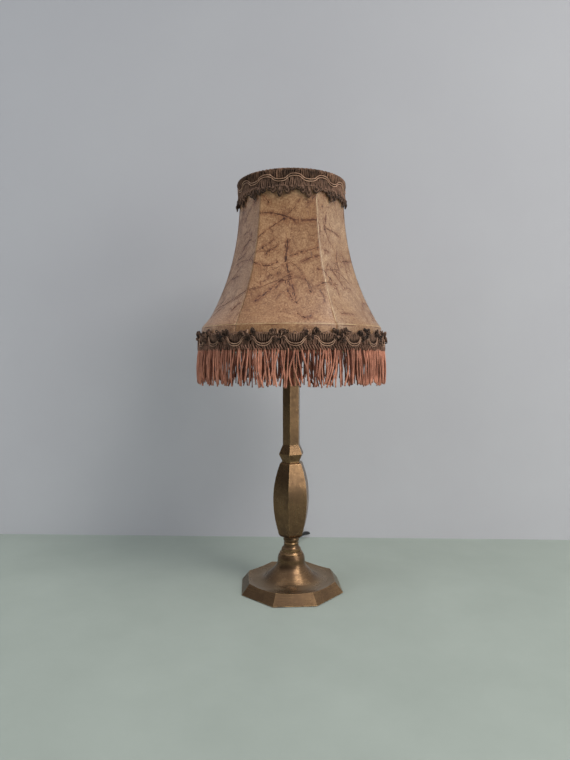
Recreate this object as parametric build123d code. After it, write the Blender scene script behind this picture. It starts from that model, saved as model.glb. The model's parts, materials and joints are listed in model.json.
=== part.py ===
from build123d import *
import math
import os

# Brass table lamp with a six-panel clip-on shade, a braid at each edge and a hanging fringe.
# Lengths are in millimetres and angles in degrees.
# The origin is the middle of the foot's underside, Z is up, and the front flat of the foot faces -Y.

# General fits
overrun = 5.0
seat_gap = 0.05
bore_clearance = 0.15
running_clearance = 0.08
body_gap = 0.3

# Octagonal foot
foot_across = 106.1
rim_top_across = 89.8
rim_height = 11.3
rim_lift = 0.8
foot_sides = 8
dish_radius = 36.0
dish_height = 8.9
bell_waist_radius = 14.6
bell_waist_height = 30.0
bell_flare_radius = 20.5
bell_flare_height = 18.6
bell_sweep_radius = 27.5
bell_sweep_height = 11.8
bell_shoulder_radius = 13.4
bell_shoulder_height = 35.6
bell_ring_radius = 10.5
bell_ring_depth = 1.6
bell_height = 41.5
bell_wall = 2.8
bell_ceiling = 33.0
foot_wall = 4.6
foot_ceiling = 6.3
groove_width = 0.7
groove_depth = 0.45
upper_groove_drop = 1.9
lower_groove_drop = 4.2

# Felt under the foot
felt_thickness = 1.9
felt_margin = 5.0
felt_clearance = 0.3

# Threaded rod with its washer and nut
rod_radius = 5.0
rod_bore = 3.3
rod_low = 25.0
rod_high = 247.0
washer_radius = 9.2
washer_thickness = 1.4
nut_across = 15.0
nut_height = 4.0

# Turned neck between the foot and the baluster
neck_foot_radius = 10.1
neck_foot_height = 1.2
neck_cove_radius = 8.1
neck_cove_share = 0.42
neck_groove_radius = 7.5
neck_groove_height = 49.0
neck_collar_radius = 8.5
neck_collar_low = 49.7
neck_collar_high = 54.1
neck_top = 55.0
neck_top_radius = 7.9

# Hexagonal baluster, as radii to its corners
column_sides = 6
column_turn = 18.5
baluster_top = 136.0
baluster_end_radius = 10.2
baluster_low_shoulder = 15.1
baluster_low_shoulder_rise = 6.4
baluster_belly = 20.7
baluster_belly_height = 97.0
baluster_high_shoulder = 13.6
baluster_high_shoulder_drop = 3.2
shoulder_round_share = 0.32

# Hexagonal stem with its knop, as radii to its corners
knop_neck_radius = 10.5
knop_neck_height = 1.2
knop_radius = 14.2
knop_height = 144.6
stem_foot_radius = 9.7
stem_foot_height = 154.6
stem_top_radius = 9.8
stem_top = 236.0

# Turned cap on the stem and the lamp holder on the rod
cap_radius = 12.5
cap_lip = 1.2
cap_height = 5.0
cap_waist_radius = 10.8
holder_base_radius = 13.0
holder_base_height = 13.0
holder_base_shoulder = 3.0
holder_radius = 13.6
holder_wall = 1.6
holder_rim_radius = 14.6
holder_rim_height = 3.0
holder_height = 36.0
insert_height = 12.0
insert_drop = 24.0
insert_clearance = 0.2
wire_channel_radius = 2.4
contact_width = 4.0
contact_thickness = 0.5
contact_pad_length = 3.0
contact_length = 7.0
thread_wall = 0.5
thread_shell_height = 19.0
screw_radius = 1.7
screw_length = 4.0
screw_spread = 8.6

# Candle bulb with a small screw cap
bulb_cap_radius = 6.8
bulb_cap_length = 16.5
bulb_insulator_height = 2.6
bulb_insulator_radius = 4.4
bulb_contact_radius = 2.3
bulb_contact_height = 1.2
bulb_neck_radius = 6.5
bulb_radius = 17.5
bulb_belly_rise = 30.0
bulb_length = 79.0
bulb_tip_radius = 2.0
bulb_wall = 0.8
bulb_seat = 6.0
lamp_stem_radius = 3.2
lamp_stem_height = 22.0
filament_radius = 0.3
filament_span = 8.0
filament_rise = 12.0
support_radius = 0.35

# Wire clip that sits on the bulb
clip_wire = 1.0
clip_bottom_rise = 8.0
clip_leg_radius = 7.2
clip_spread = 36.0
hub_radius = 9.0
hub_thickness = 1.5
hub_clearance = 0.6
rivet_radius = 1.5
rivet_head_radius = 3.0
rivet_head_height = 1.0

# Swivel bracket and tilt pin above the clip
bracket_thickness = 1.0
bracket_width = 9.0
bracket_span = 13.0
pivot_rise = 7.4
ear_rise = 3.4
pin_radius = 1.5
pin_head_radius = 2.6
pin_head_length = 1.0
barrel_radius = 3.0
barrel_clearance = 0.3

# Shade frame and cover
panel_count = 6
shade_turn = -7.7
shade_top = 427.6
gallery_height = 277.4
gallery_depth = 24.9
waist_radius = 54.5
gallery_inset = 1.9
bottom_radius = 96.2
bell_power = 2.38
flat_bulge_share = 0.06
bulge_power = 3
round_edge_share = 0.016
cover_thickness = 0.7
cover_joint = 0.1
section_shares = (0.0, 0.016, 0.06, 0.14, 0.26, 0.42, 0.6, 0.76, 0.88, 0.95, 0.984, 1.0)
rib_shares = (0.0, 0.2, 0.45, 0.72, 1.0)
ring_wire = 1.5
rib_wire = 1.25
frame_gap = 0.3
gallery_ring_drop = 0.7
arm_wire = 1.4

# Braids and fringe
braid_thickness = 2.2
braid_gap = 0.25
top_braid_depth = 14.1
top_braid_rise = 0.7
bottom_braid_drop = 2.4
bottom_braid_hem = 0.9
fringe_thickness = 2.4
fringe_drop = 1.2
fringe_length = 31.0
fringe_spread = 0.9

# Flex: its section, its way through the lamp and its bush
flex_diameter = 4.6
flex_height = 5.3
flex_bend = 15.0
flex_groove_clearance = 0.3
bush_wall = 0.75
bush_tip_wall = 0.5
bush_flange_radius = 4.6
bush_flange_thickness = 1.4
cord_length_wanted = 1800.0
bend_run_share = 0.45
straight_spare = 1e-9

# Coil of the put-away length
coil_x = -20.0
coil_y = 244.0
coil_turns = 7.5
coil_inner_radius = 18.375
coil_pitch = 5.1
coil_layer = 5.05
least_coil_gap = 0.4
coil_climb_turns = 0.5
coil_way_step = 0.001
coil_samples_per_turn = 60

# In-line switch and plug on the cord
switch_length = 56.0
switch_width = 26.0
switch_height = 17.0
switch_split = 8.0
switch_edge = 3.5
switch_x = 88.0
switch_y = 242.0
switch_wall = 1.6
switch_nose = 6.0
switch_nose_radius = 4.4
rocker_length = 17.0
rocker_width = 11.0
rocker_height = 9.0
rocker_proud = 1.6
rocker_drop = 3.0
rocker_clearance = 0.4
rocker_swing_room = 0.9
rocker_rest_tilt = 8.0
rocker_pin_radius = 1.0
switch_screw_radius = 1.6
switch_screw_head = 2.8
switch_screw_length = 9.0
switch_screw_inset = 7.0
plug_width = 35.3
plug_height = 13.7
plug_length = 30.0
plug_waist = 20.0
plug_edge = 3.0
plug_x = 47.4
plug_y = 251.0
plug_relief_length = 12.0
plug_relief_radius = 4.0
pin_spacing = 18.6
plug_pin_radius = 2.0
plug_pin_length = 19.0
plug_pin_root = 6.0

# Route of the cord from the bush to the switch, then to the coil, and from the coil to the plug
lead_route = [
    (0.0, 67.5, 5.3),
    (0.0, 79.5, 5.3),
    (1.6, 94.0, 3.2),
    (5.5, 110.0, 2.4),
    (10.5, 128.0, 2.5),
    (16.6, 147.0, 2.9),
    (23.0, 160.0, 5.6),
    (35.0, 168.0, 6.4),
    (48.0, 172.6, 3.3),
    (69.3, 174.8, 2.5),
    (81.4, 183.6, 3.8),
    (88.0, 196.0, 5.6),
    (88.0, 208.0, 5.6),
]
tail_route = [
    (88.0, 276.0, 5.6),
    (88.0, 287.5, 5.6),
    (82.3, 300.3, 4.0),
    (71.0, 309.5, 2.5),
    (56.4, 312.8, 2.4),
    (40.5, 308.0, 2.5),
    (26.0, 298.9, 2.4),
    (14.5, 288.7, 2.5),
    (0.0, 281.94, 2.3),
    (-15.4, 281.6, 2.3),
]
end_route = [
    (-15.4, 206.4, 7.35),
    (-0.5, 206.08, 7.35),
    (15.3, 204.8, 5.6),
    (29.2, 206.7, 3.6),
    (40.8, 214.6, 4.6),
    (47.4, 227.0, 6.85),
    (47.4, 239.0, 6.85),
]

flex_radius = flex_diameter / 2
holder_low = stem_top + cap_height
holder_top = holder_low + holder_base_height + holder_height
bulb_low = holder_top - bulb_cap_length - bulb_seat
glass_low = bulb_low + bulb_cap_length
belly_height = glass_low + bulb_belly_rise
glass_top = glass_low + bulb_length
hub_low = glass_top + hub_clearance
bracket_low = hub_low + hub_thickness + body_gap
pivot_height = bracket_low + pivot_rise
gallery_radius = bottom_radius - gallery_inset
shade_bottom = gallery_height - gallery_depth


def rz(radius, height):
    """A point of an upright outline at a radius from the lamp's axis."""
    return (radius, 0, height)


def turned(*edges):
    """A solid of revolution about the lamp's axis."""
    return revolve(make_face(edges), Axis.Z)


def disc(radius, low, high, hole=0):
    """An upright round piece, with a hole through it where one is given."""
    solid = Pos(0, 0, low) * extrude(Circle(radius), high - low)
    if hole:
        solid -= Pos(0, 0, low - overrun) * extrude(Circle(hole), high - low + 2 * overrun)
    return solid


def across_to_corner(across, sides):
    return across / 2 / math.cos(math.pi / sides)


def octagon(across):
    corner = across_to_corner(across, foot_sides)
    return Rot(0, 0, 180 / foot_sides) * RegularPolygon(corner, foot_sides)


def faceted(outline_points, shoulders):
    """A hexagonal column whose faces follow one outline of corner radii, cut face pair by face pair."""
    flat_share = math.cos(math.pi / column_sides)
    right = [(radius * flat_share, 0, height) for radius, height in outline_points]
    left = [(-x, 0, z) for x, _, z in right]
    edges = []
    for side in (right, left):
        for start, end, through in zip(side, side[1:], shoulders):
            if through is None:
                edges.append(Line(start, end))
            else:
                sign = 1 if side is right else -1
                middle = (sign * through[0] * flat_share, 0, through[1])
                edges.append(ThreePointArc(start, middle, end))
    edges.append(Line(left[0], right[0]))
    edges.append(Line(left[-1], right[-1]))
    widest = max(radius for radius, _ in outline_points)
    slab = extrude(make_face(edges), widest + overrun, both=True)
    column = slab
    for pair in range(1, column_sides // 2):
        column &= Rot(0, 0, pair * 360 / column_sides) * slab
    return Rot(0, 0, column_turn + 360 / column_sides / 2) * column


def arc_point(start, end, belly, share):
    """A point on the arc that is upright at belly and passes start, for the faces of the baluster."""
    bulge = belly[0] - start[0]
    run = abs(belly[1] - start[1])
    radius = (run * run + bulge * bulge) / (2 * bulge)
    height = start[1] + (end[1] - start[1]) * share
    off = height - belly[1]
    return (belly[0] - radius + math.sqrt(radius * radius - off * off), height)


def biarc(start, start_way, end, end_way):
    """Two arcs that leave start and reach end along the given directions."""
    p, q = Vector(*start), Vector(*end)
    t, u = Vector(*start_way).normalized(), Vector(*end_way).normalized()
    v = q - p
    both = t + u
    spare = 2 * (1 - t.dot(u))
    if abs(spare) < straight_spare:
        reach = v.dot(v) / (4 * v.dot(u))
    else:
        reach = (-v.dot(both) + math.sqrt(v.dot(both) ** 2 + spare * v.dot(v))) / spare
    joint = (p + q + (t - u) * reach) * 0.5
    first = TangentArc([p, joint], tangent=t)
    second = TangentArc([joint, q], tangent=first % 1)
    return [first, second]


def swept(path, radius):
    """A round tube along a path, with its section square to the start."""
    return sweep(Plane(origin=path @ 0, z_dir=path % 0) * Circle(radius), path=path)


def routed(points, name):
    """The path of a cord: straight runs joined by arcs as large as the runs allow."""
    corners = [Vector(*point) for point in points]
    radii = []
    for before, corner, after in zip(corners, corners[1:], corners[2:]):
        turn = (corner - before).get_angle(after - corner)
        shorter = min((corner - before).length, (after - corner).length)
        radii.append(bend_run_share * shorter / math.tan(math.radians(turn) / 2))
    path = FilletPolyline(*points, radius=radii)
    print(f"{name}: length {path.length:.1f}, radii {', '.join(f'{r:.0f}' for r in radii)}")
    return path


def tube(points, name):
    path = routed(points, name)
    solid = swept(path, flex_radius)
    share = solid.volume / (math.pi * flex_radius**2 * path.length)
    print(f"{name}: volume over section times length {share:.4f}")
    return solid, path.length


def base_foot():
    corner = across_to_corner(foot_across, foot_sides)
    top_corner = across_to_corner(rim_top_across, foot_sides)
    slope = (corner - top_corner) / (rim_height - rim_lift)
    rise = bell_height - rim_lift
    rim = Pos(0, 0, rim_lift) * loft(
        [octagon(foot_across), Pos(0, 0, rim_height - rim_lift) * octagon(rim_top_across)]
    )
    core = disc(dish_radius, rim_lift, rim_lift + rise)
    ring_low = bell_height - bell_ring_depth
    shoulder = Spline(
        rz(bell_ring_radius, ring_low),
        rz(bell_shoulder_radius, bell_shoulder_height),
        rz(bell_waist_radius, bell_waist_height),
        tangents=[(1, 0, -1), (0, 0, -1)],
    )
    flare = Spline(
        rz(bell_waist_radius, bell_waist_height),
        rz(bell_flare_radius, bell_flare_height),
        rz(bell_sweep_radius, bell_sweep_height),
        rz(dish_radius, dish_height),
        tangents=[(0, 0, -1), (1, 0, 0)],
    )
    dish_end = rz(top_corner + slope * seat_gap, rim_height)
    top = turned(
        Line(rz(0, bell_height), rz(bell_ring_radius, bell_height)),
        Line(rz(bell_ring_radius, bell_height), rz(bell_ring_radius, ring_low)),
        shoulder,
        flare,
        TangentArc([rz(dish_radius, dish_height), dish_end], tangent=(1, 0, 0)),
        Line(dish_end, rz(corner + overrun, rim_height)),
        Line(rz(corner + overrun, rim_height), rz(corner + overrun, 0)),
        Line(rz(corner + overrun, 0), rz(0, 0)),
        Line(rz(0, 0), rz(0, bell_height)),
    )
    foot = (rim + core) & top
    inside = turned(
        Line(rz(0, 0), rz(dish_radius, 0)),
        Line(rz(dish_radius, 0), rz(dish_radius, foot_ceiling)),
        Spline(
            rz(dish_radius, foot_ceiling),
            rz(bell_sweep_radius - bell_wall, bell_sweep_height - bell_wall),
            rz(bell_flare_radius - bell_wall, bell_flare_height - bell_wall),
            rz(bell_waist_radius - bell_wall, bell_waist_height - bell_wall),
            rz(bell_waist_radius - bell_wall, bell_ceiling),
            tangents=[(-1, 0, 0), (0, 0, 1)],
        ),
        Line(rz(bell_waist_radius - bell_wall, bell_ceiling), rz(0, bell_ceiling)),
        Line(rz(0, bell_ceiling), rz(0, 0)),
    )
    foot -= inside
    foot -= extrude(octagon(rim_top_across - 2 * foot_wall), foot_ceiling)
    foot -= extrude(octagon(foot_across - 2 * felt_margin), felt_thickness)
    foot -= disc(rod_radius + bore_clearance, bell_ceiling - overrun, bell_height + overrun)
    channel = Rot(-90, 0, 0) * extrude(Circle(flex_radius + flex_groove_clearance), dish_radius)
    foot -= Pos(0, 0, flex_height) * channel
    foot -= Pos(0, 0, flex_height) * Rot(-90, 0, 0) * extrude(
        Circle(flex_radius + bush_wall + seat_gap), foot_across
    )
    for drop in (upper_groove_drop, lower_groove_drop):
        height = bell_height - drop
        share = max(0, ring_low - height) / (ring_low - bell_shoulder_height)
        radius = bell_ring_radius + (bell_shoulder_radius - bell_ring_radius) * share
        low = height - groove_width / 2
        foot -= disc(radius + overrun, low, low + groove_width, radius - groove_depth)
    return foot


def base_felt():
    across = foot_across - 2 * felt_margin - 2 * felt_clearance
    return extrude(octagon(across), felt_thickness - seat_gap)


def rod_washer():
    low = bell_ceiling - washer_thickness
    return disc(washer_radius, low, bell_ceiling, rod_radius + bore_clearance)


def rod_nut():
    high = bell_ceiling - washer_thickness
    corner = across_to_corner(nut_across, column_sides)
    nut = Pos(0, 0, high - nut_height) * extrude(RegularPolygon(corner, column_sides), nut_height)
    return nut - disc(rod_radius + seat_gap, high - nut_height - overrun, high + overrun)


def threaded_rod():
    return disc(rod_radius, rod_low, rod_high, rod_bore)


def neck_spool():
    cove_low = bell_height + neck_foot_height
    cove_mid = cove_low + (neck_groove_height - cove_low) * neck_cove_share
    bore = rod_radius + bore_clearance
    collar_mid = (neck_collar_low + neck_collar_high) / 2
    return turned(
        Line(rz(bore, bell_height), rz(neck_foot_radius, bell_height)),
        Line(rz(neck_foot_radius, bell_height), rz(neck_foot_radius, cove_low)),
        ThreePointArc(
            rz(neck_foot_radius, cove_low),
            rz(neck_cove_radius, cove_mid),
            rz(neck_cove_radius, neck_groove_height - groove_width),
        ),
        Line(
            rz(neck_cove_radius, neck_groove_height - groove_width),
            rz(neck_groove_radius, neck_groove_height),
        ),
        Line(rz(neck_groove_radius, neck_groove_height), rz(neck_groove_radius, neck_collar_low)),
        ThreePointArc(
            rz(neck_groove_radius, neck_collar_low),
            rz(neck_collar_radius, collar_mid),
            rz(neck_top_radius, neck_collar_high),
        ),
        Line(rz(neck_top_radius, neck_collar_high), rz(neck_top_radius, neck_top)),
        Line(rz(neck_top_radius, neck_top), rz(bore, neck_top)),
        Line(rz(bore, neck_top), rz(bore, bell_height)),
    )


def baluster():
    belly = (baluster_belly, baluster_belly_height)
    low = (baluster_low_shoulder, neck_top + baluster_low_shoulder_rise)
    high = (baluster_high_shoulder, baluster_top - baluster_high_shoulder_drop)
    foot = (baluster_end_radius, neck_top)
    head = (baluster_end_radius, baluster_top)

    def rounded(end, shoulder):
        middle = [(a + b) / 2 for a, b in zip(end, shoulder)]
        return (middle[0] + (shoulder[0] - end[0]) * shoulder_round_share, middle[1])

    outline = [foot, low, belly, high, head]
    through = [
        rounded(foot, low),
        arc_point(low, belly, belly, 0.5),
        arc_point(high, belly, belly, 0.5),
        rounded(head, high),
    ]
    bore = disc(rod_radius + bore_clearance, neck_top - overrun, baluster_top + overrun)
    return faceted(outline, through) - bore


def stem():
    outline = [
        (knop_neck_radius, baluster_top),
        (knop_neck_radius, baluster_top + knop_neck_height),
        (knop_radius, knop_height),
        (stem_foot_radius, stem_foot_height),
        (stem_top_radius, stem_top),
    ]
    bore = disc(rod_radius + bore_clearance, baluster_top - overrun, stem_top + overrun)
    return faceted(outline, [None] * (len(outline) - 1)) - bore


def stem_cap():
    bore = rod_radius + bore_clearance
    lip_high = stem_top + cap_lip
    return turned(
        Line(rz(bore, stem_top), rz(cap_radius, stem_top)),
        Line(rz(cap_radius, stem_top), rz(cap_radius, lip_high)),
        ThreePointArc(
            rz(cap_radius, lip_high),
            rz(cap_waist_radius, (lip_high + holder_low) / 2),
            rz(cap_radius, holder_low),
        ),
        Line(rz(cap_radius, holder_low), rz(bore, holder_low)),
        Line(rz(bore, holder_low), rz(bore, stem_top)),
    )


def holder_base():
    high = holder_low + holder_base_height
    cup = disc(holder_base_radius, holder_low, high)
    cup = fillet(cup.edges().group_by(Axis.Z)[0], holder_base_shoulder)
    cup -= disc(holder_base_radius - holder_wall, holder_low + holder_base_shoulder, high + overrun)
    return cup - disc(rod_radius + bore_clearance, holder_low - overrun, high)


def holder_shell():
    low = holder_low + holder_base_height
    shell = disc(holder_radius, low, holder_top, holder_radius - holder_wall)
    rim_low = holder_top - holder_rim_height
    rim = disc(holder_rim_radius, rim_low, holder_top, holder_radius - holder_wall)
    return shell + rim


def insert_top():
    return holder_top - insert_drop


def holder_insert():
    radius = holder_radius - holder_wall - insert_clearance
    high = insert_top()
    block = disc(radius, high - insert_height, high)
    reach = screw_spread / 2
    for side in (-1, 1):
        passage = disc(wire_channel_radius, high - insert_height - overrun, high + overrun)
        block -= Pos(0, side * reach, 0) * passage
        bore = disc(screw_radius + seat_gap, high - insert_height - overrun, high - screw_length)
        block -= Pos(side * reach, 0, 0) * bore
    return block


def terminal_screws():
    low = insert_top() - insert_height
    group = []
    for side in (-1, 1):
        screw = disc(screw_radius, low, low + screw_length)
        group.append(Pos(side * screw_spread / 2, 0, 0) * screw)
    return Compound(group)


def centre_contact():
    low = insert_top()
    leaf = Pos(0, 0, low) * extrude(Rectangle(contact_length, contact_width), contact_thickness)
    riser_height = bulb_low - body_gap - low - contact_thickness
    pad = Pos(0, 0, low + contact_thickness) * extrude(
        Rectangle(contact_pad_length, contact_width), riser_height
    )
    return leaf + pad


def thread_shell():
    low = insert_top()
    inner = bulb_cap_radius + running_clearance
    shell = disc(inner + thread_wall, low, low + thread_shell_height, inner)
    foot = disc(holder_radius - holder_wall - insert_clearance, low, low + thread_wall, inner)
    return shell + foot


def bulb_outline(inset=0):
    """The glass envelope's outline from its neck to its tip, moved inwards by inset."""
    rise = glass_top - bulb_tip_radius - belly_height
    swell = bulb_radius - bulb_tip_radius
    curve = (rise * rise + swell * swell) / (2 * swell)
    centre = bulb_radius - curve
    top_height = glass_top - bulb_tip_radius
    middle = belly_height + rise / 2
    middle_radius = centre + math.sqrt((curve - inset) ** 2 - (rise / 2) ** 2)
    tip = max(bulb_tip_radius - inset, seat_gap)
    return [
        Spline(
            rz(bulb_neck_radius - inset, glass_low),
            rz(bulb_radius - inset, belly_height),
            tangents=[(0, 0, 1), (0, 0, 1)],
        ),
        ThreePointArc(
            rz(bulb_radius - inset, belly_height),
            rz(middle_radius, middle),
            rz(tip, top_height - inset),
        ),
        Line(rz(tip, top_height - inset), rz(0, glass_top - inset)),
        Line(rz(0, glass_top - inset), rz(0, glass_low)),
        Line(rz(0, glass_low), rz(bulb_neck_radius - inset, glass_low)),
    ]


def bulb_glass():
    return turned(*bulb_outline()) - turned(*bulb_outline(bulb_wall))


def bulb_cap():
    low = bulb_low + bulb_contact_height + bulb_insulator_height
    neck = bulb_neck_radius + seat_gap
    cap = disc(bulb_cap_radius, low, glass_low)
    return cap - disc(neck - bulb_wall, low + bulb_wall, glass_low + overrun)


def bulb_insulator():
    low = bulb_low + bulb_contact_height
    cone = Solid.make_cone(bulb_contact_radius, bulb_insulator_radius, bulb_insulator_height)
    return Pos(0, 0, low) * cone


def bulb_contact():
    return disc(bulb_contact_radius, bulb_low, bulb_low + bulb_contact_height)


def bulb_mount():
    foot = disc(lamp_stem_radius, glass_low + seat_gap, glass_low + lamp_stem_height)
    flare = disc(bulb_neck_radius - bulb_wall - seat_gap, glass_low + seat_gap, glass_low + bulb_wall)
    return foot + flare


def bulb_filament():
    low = glass_low + lamp_stem_height
    high = low + filament_rise
    half = filament_span / 2
    posts = []
    for side in (-1, 1):
        foot = (side * lamp_stem_radius / 2, 0, low + seat_gap)
        posts.append(swept(Line(foot, (side * half, 0, high)), support_radius))
    wire = swept(Line((-half, 0, high), (half, 0, high)), filament_radius)
    group = posts[0] + posts[1] + wire
    return group


def clip_curve():
    """Centre and radius of the arc that the clip's legs follow, in the plane of one leg."""
    rise = glass_top - bulb_tip_radius - belly_height
    swell = bulb_radius - bulb_tip_radius
    curve = (rise * rise + swell * swell) / (2 * swell)
    return bulb_radius - curve, curve + body_gap + clip_wire


def clip_radius(height):
    centre, curve = clip_curve()
    return centre + math.sqrt(curve**2 - (height - belly_height) ** 2)


def clip_loops():
    centre, curve = clip_curve()
    low = belly_height + clip_bottom_rise
    bottom_radius = clip_radius(low)
    high = belly_height + math.sqrt(curve**2 - (clip_leg_radius - centre) ** 2)
    middle = (low + high) / 2
    arc = ThreePointArc(
        rz(bottom_radius, low), rz(clip_radius(middle), middle), rz(clip_leg_radius, high)
    )
    leg = swept(arc, clip_wire)
    leg += swept(Line(rz(clip_leg_radius, high), rz(clip_leg_radius, hub_low)), clip_wire)
    leg += Pos(*rz(clip_leg_radius, high)) * Sphere(clip_wire)
    leg += Pos(*rz(bottom_radius, low)) * Sphere(clip_wire)
    loops = []
    for side in (0, 180):
        legs = Rot(0, 0, clip_spread) * leg + Rot(0, 0, -clip_spread) * leg
        ends = [
            (bottom_radius * math.cos(math.radians(a)), bottom_radius * math.sin(math.radians(a)), low)
            for a in (-clip_spread, 0, clip_spread)
        ]
        legs += swept(ThreePointArc(*ends), clip_wire)
        loops.append(Rot(0, 0, side) * legs)
    return Compound(loops)


def clip_hub():
    return disc(hub_radius, hub_low, hub_low + hub_thickness, rivet_radius)


def clip_rivet():
    plate_high = bracket_low + bracket_thickness + body_gap
    shank = disc(rivet_radius, hub_low, plate_high)
    return shank + disc(rivet_head_radius, plate_high, plate_high + rivet_head_height)


def swivel_bracket():
    plate = Pos(0, 0, bracket_low) * extrude(
        Rectangle(bracket_width, bracket_span), bracket_thickness
    )
    ear_top = pivot_height + ear_rise
    for side in (-1, 1):
        y = side * (bracket_span - bracket_thickness) / 2
        ear = Pos(0, y, bracket_low) * extrude(
            Rectangle(bracket_width, bracket_thickness), ear_top - bracket_low
        )
        plate += ear
    plate -= disc(rivet_radius + running_clearance, bracket_low - overrun, bracket_low + overrun)
    bore = extrude(Circle(pin_radius), bracket_span, both=True)
    return plate - Pos(0, 0, pivot_height) * Rot(90, 0, 0) * bore


def tilt_pin():
    reach = bracket_span / 2
    shank = extrude(Circle(pin_radius), reach, both=True)
    head = extrude(Circle(pin_head_radius), pin_head_length)
    pin = shank + Pos(0, 0, reach) * head + Pos(0, 0, -reach - pin_head_length) * head
    return Pos(0, 0, pivot_height) * Rot(90, 0, 0) * pin


def bell_radius(share):
    """The cover's outer radius at a rib, from the gallery ring at share 0 to the top at share 1."""
    return waist_radius + (gallery_radius - waist_radius) * (1 - share) ** bell_power


def bell_point(share):
    return bell_radius(share), gallery_height + (shade_top - gallery_height) * share


def bulge_at(share):
    """How far a panel swells from the chord between its ribs towards the round of its rings."""
    off_middle = min(abs(2 * share - 1) / (1 - 2 * round_edge_share), 1)
    return flat_bulge_share + (1 - flat_bulge_share) * off_middle**bulge_power


def panel_section(radius, height, bulge, inner, outer, joint):
    """One panel's section at a height, between two ribs and facing -Y."""
    half = math.pi / panel_count
    middle_share = math.cos(half) + (1 - math.cos(half)) * bulge

    def arc(size):
        turn = half - joint / 2 / size
        end = (size * math.sin(turn), -size * math.cos(turn), height)
        start = (-end[0], end[1], height)
        return start, (0, -size * middle_share, height), end

    near, far = arc(radius + outer), arc(radius + inner)
    return make_face(
        [
            ThreePointArc(*near),
            Line(near[2], far[2]),
            ThreePointArc(*far),
            Line(far[0], near[0]),
        ]
    )


def bell_wall_piece(shares, inner, outer, joint):
    sections = []
    for share in shares:
        radius, height = bell_point(share)
        sections.append(panel_section(radius, height, bulge_at(share), inner, outer, joint))
    return loft(sections)


def gallery_radius_at(height):
    share = (gallery_height - height) / (gallery_height - shade_bottom)
    return gallery_radius + (bottom_radius - gallery_radius) * share


def gallery_wall_piece(low, high, inner, outer, joint):
    sections = [
        panel_section(gallery_radius_at(height), height, 1, inner, outer, joint)
        for height in (low, high)
    ]
    return loft(sections, ruled=True)


def panel_turn(index):
    return Rot(0, 0, shade_turn + index * 360 / panel_count)


def shade_panel(index):
    wall = bell_wall_piece(section_shares, -cover_thickness, 0, cover_joint)
    wall += gallery_wall_piece(shade_bottom, gallery_height, -cover_thickness, 0, cover_joint)
    return panel_turn(index) * wall


def top_braid():
    low_share = 1 - top_braid_depth / (shade_top - gallery_height)
    shares = [low_share] + [share for share in section_shares if share > low_share]
    piece = bell_wall_piece(shares, braid_gap, braid_thickness, 0)
    cap_sections = [
        panel_section(waist_radius, height, 1, braid_gap, braid_thickness, 0)
        for height in (shade_top, shade_top + top_braid_rise)
    ]
    piece += loft(cap_sections, ruled=True)
    ring = panel_turn(0) * piece
    for index in range(1, panel_count):
        ring += panel_turn(index) * piece
    return ring


def bottom_braid():
    low_height = shade_bottom - bottom_braid_hem
    high_height = gallery_height - bottom_braid_drop
    low = gallery_radius_at(low_height) + braid_gap
    high = gallery_radius_at(high_height) + braid_gap
    return turned(
        Line(rz(low, low_height), rz(low + braid_thickness, low_height)),
        Line(rz(low + braid_thickness, low_height), rz(high + braid_thickness, high_height)),
        Line(rz(high + braid_thickness, high_height), rz(high, high_height)),
        Line(rz(high, high_height), rz(low, low_height)),
    )


def fringe():
    inner = bottom_radius + braid_gap
    outer = inner + fringe_thickness
    high = shade_bottom - fringe_drop
    low = high - fringe_length
    return turned(
        Line(rz(inner, high), rz(outer, high)),
        Line(rz(outer, high), rz(outer + fringe_spread, low)),
        Line(rz(outer + fringe_spread, low), rz(inner + fringe_spread, low)),
        Line(rz(inner + fringe_spread, low), rz(inner, high)),
    )


def torus_at(radius, height, wire):
    return Pos(0, 0, height) * Torus(radius, wire)


def top_ring_radius():
    return waist_radius - cover_thickness - frame_gap - ring_wire


def shade_top_ring():
    return torus_at(top_ring_radius(), shade_top - ring_wire, ring_wire)


def gallery_ring_radius():
    return gallery_radius - cover_thickness - frame_gap - ring_wire


def shade_gallery_ring():
    return torus_at(gallery_ring_radius(), gallery_height - gallery_ring_drop, ring_wire)


def bottom_ring_radius():
    slope = (bottom_radius - gallery_radius) / (gallery_height - shade_bottom)
    wall = gallery_radius_at(shade_bottom + ring_wire) - cover_thickness
    return wall - (frame_gap + ring_wire) * math.hypot(slope, 1)


def shade_bottom_ring():
    return torus_at(bottom_ring_radius(), shade_bottom + ring_wire, ring_wire)


def rib_point(share):
    """A point of a rib's centre line, inside the cover, with its direction upwards."""
    radius, height = bell_point(share)
    flare = (gallery_radius - waist_radius) * bell_power * max(1 - share, 0) ** (bell_power - 1)
    slope = -flare / (shade_top - gallery_height)
    long = math.hypot(slope, 1)
    inset = cover_thickness + frame_gap + rib_wire
    point = (radius - inset / long, 0, height + inset * slope / long)
    return point, (slope, 0, 1)


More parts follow.
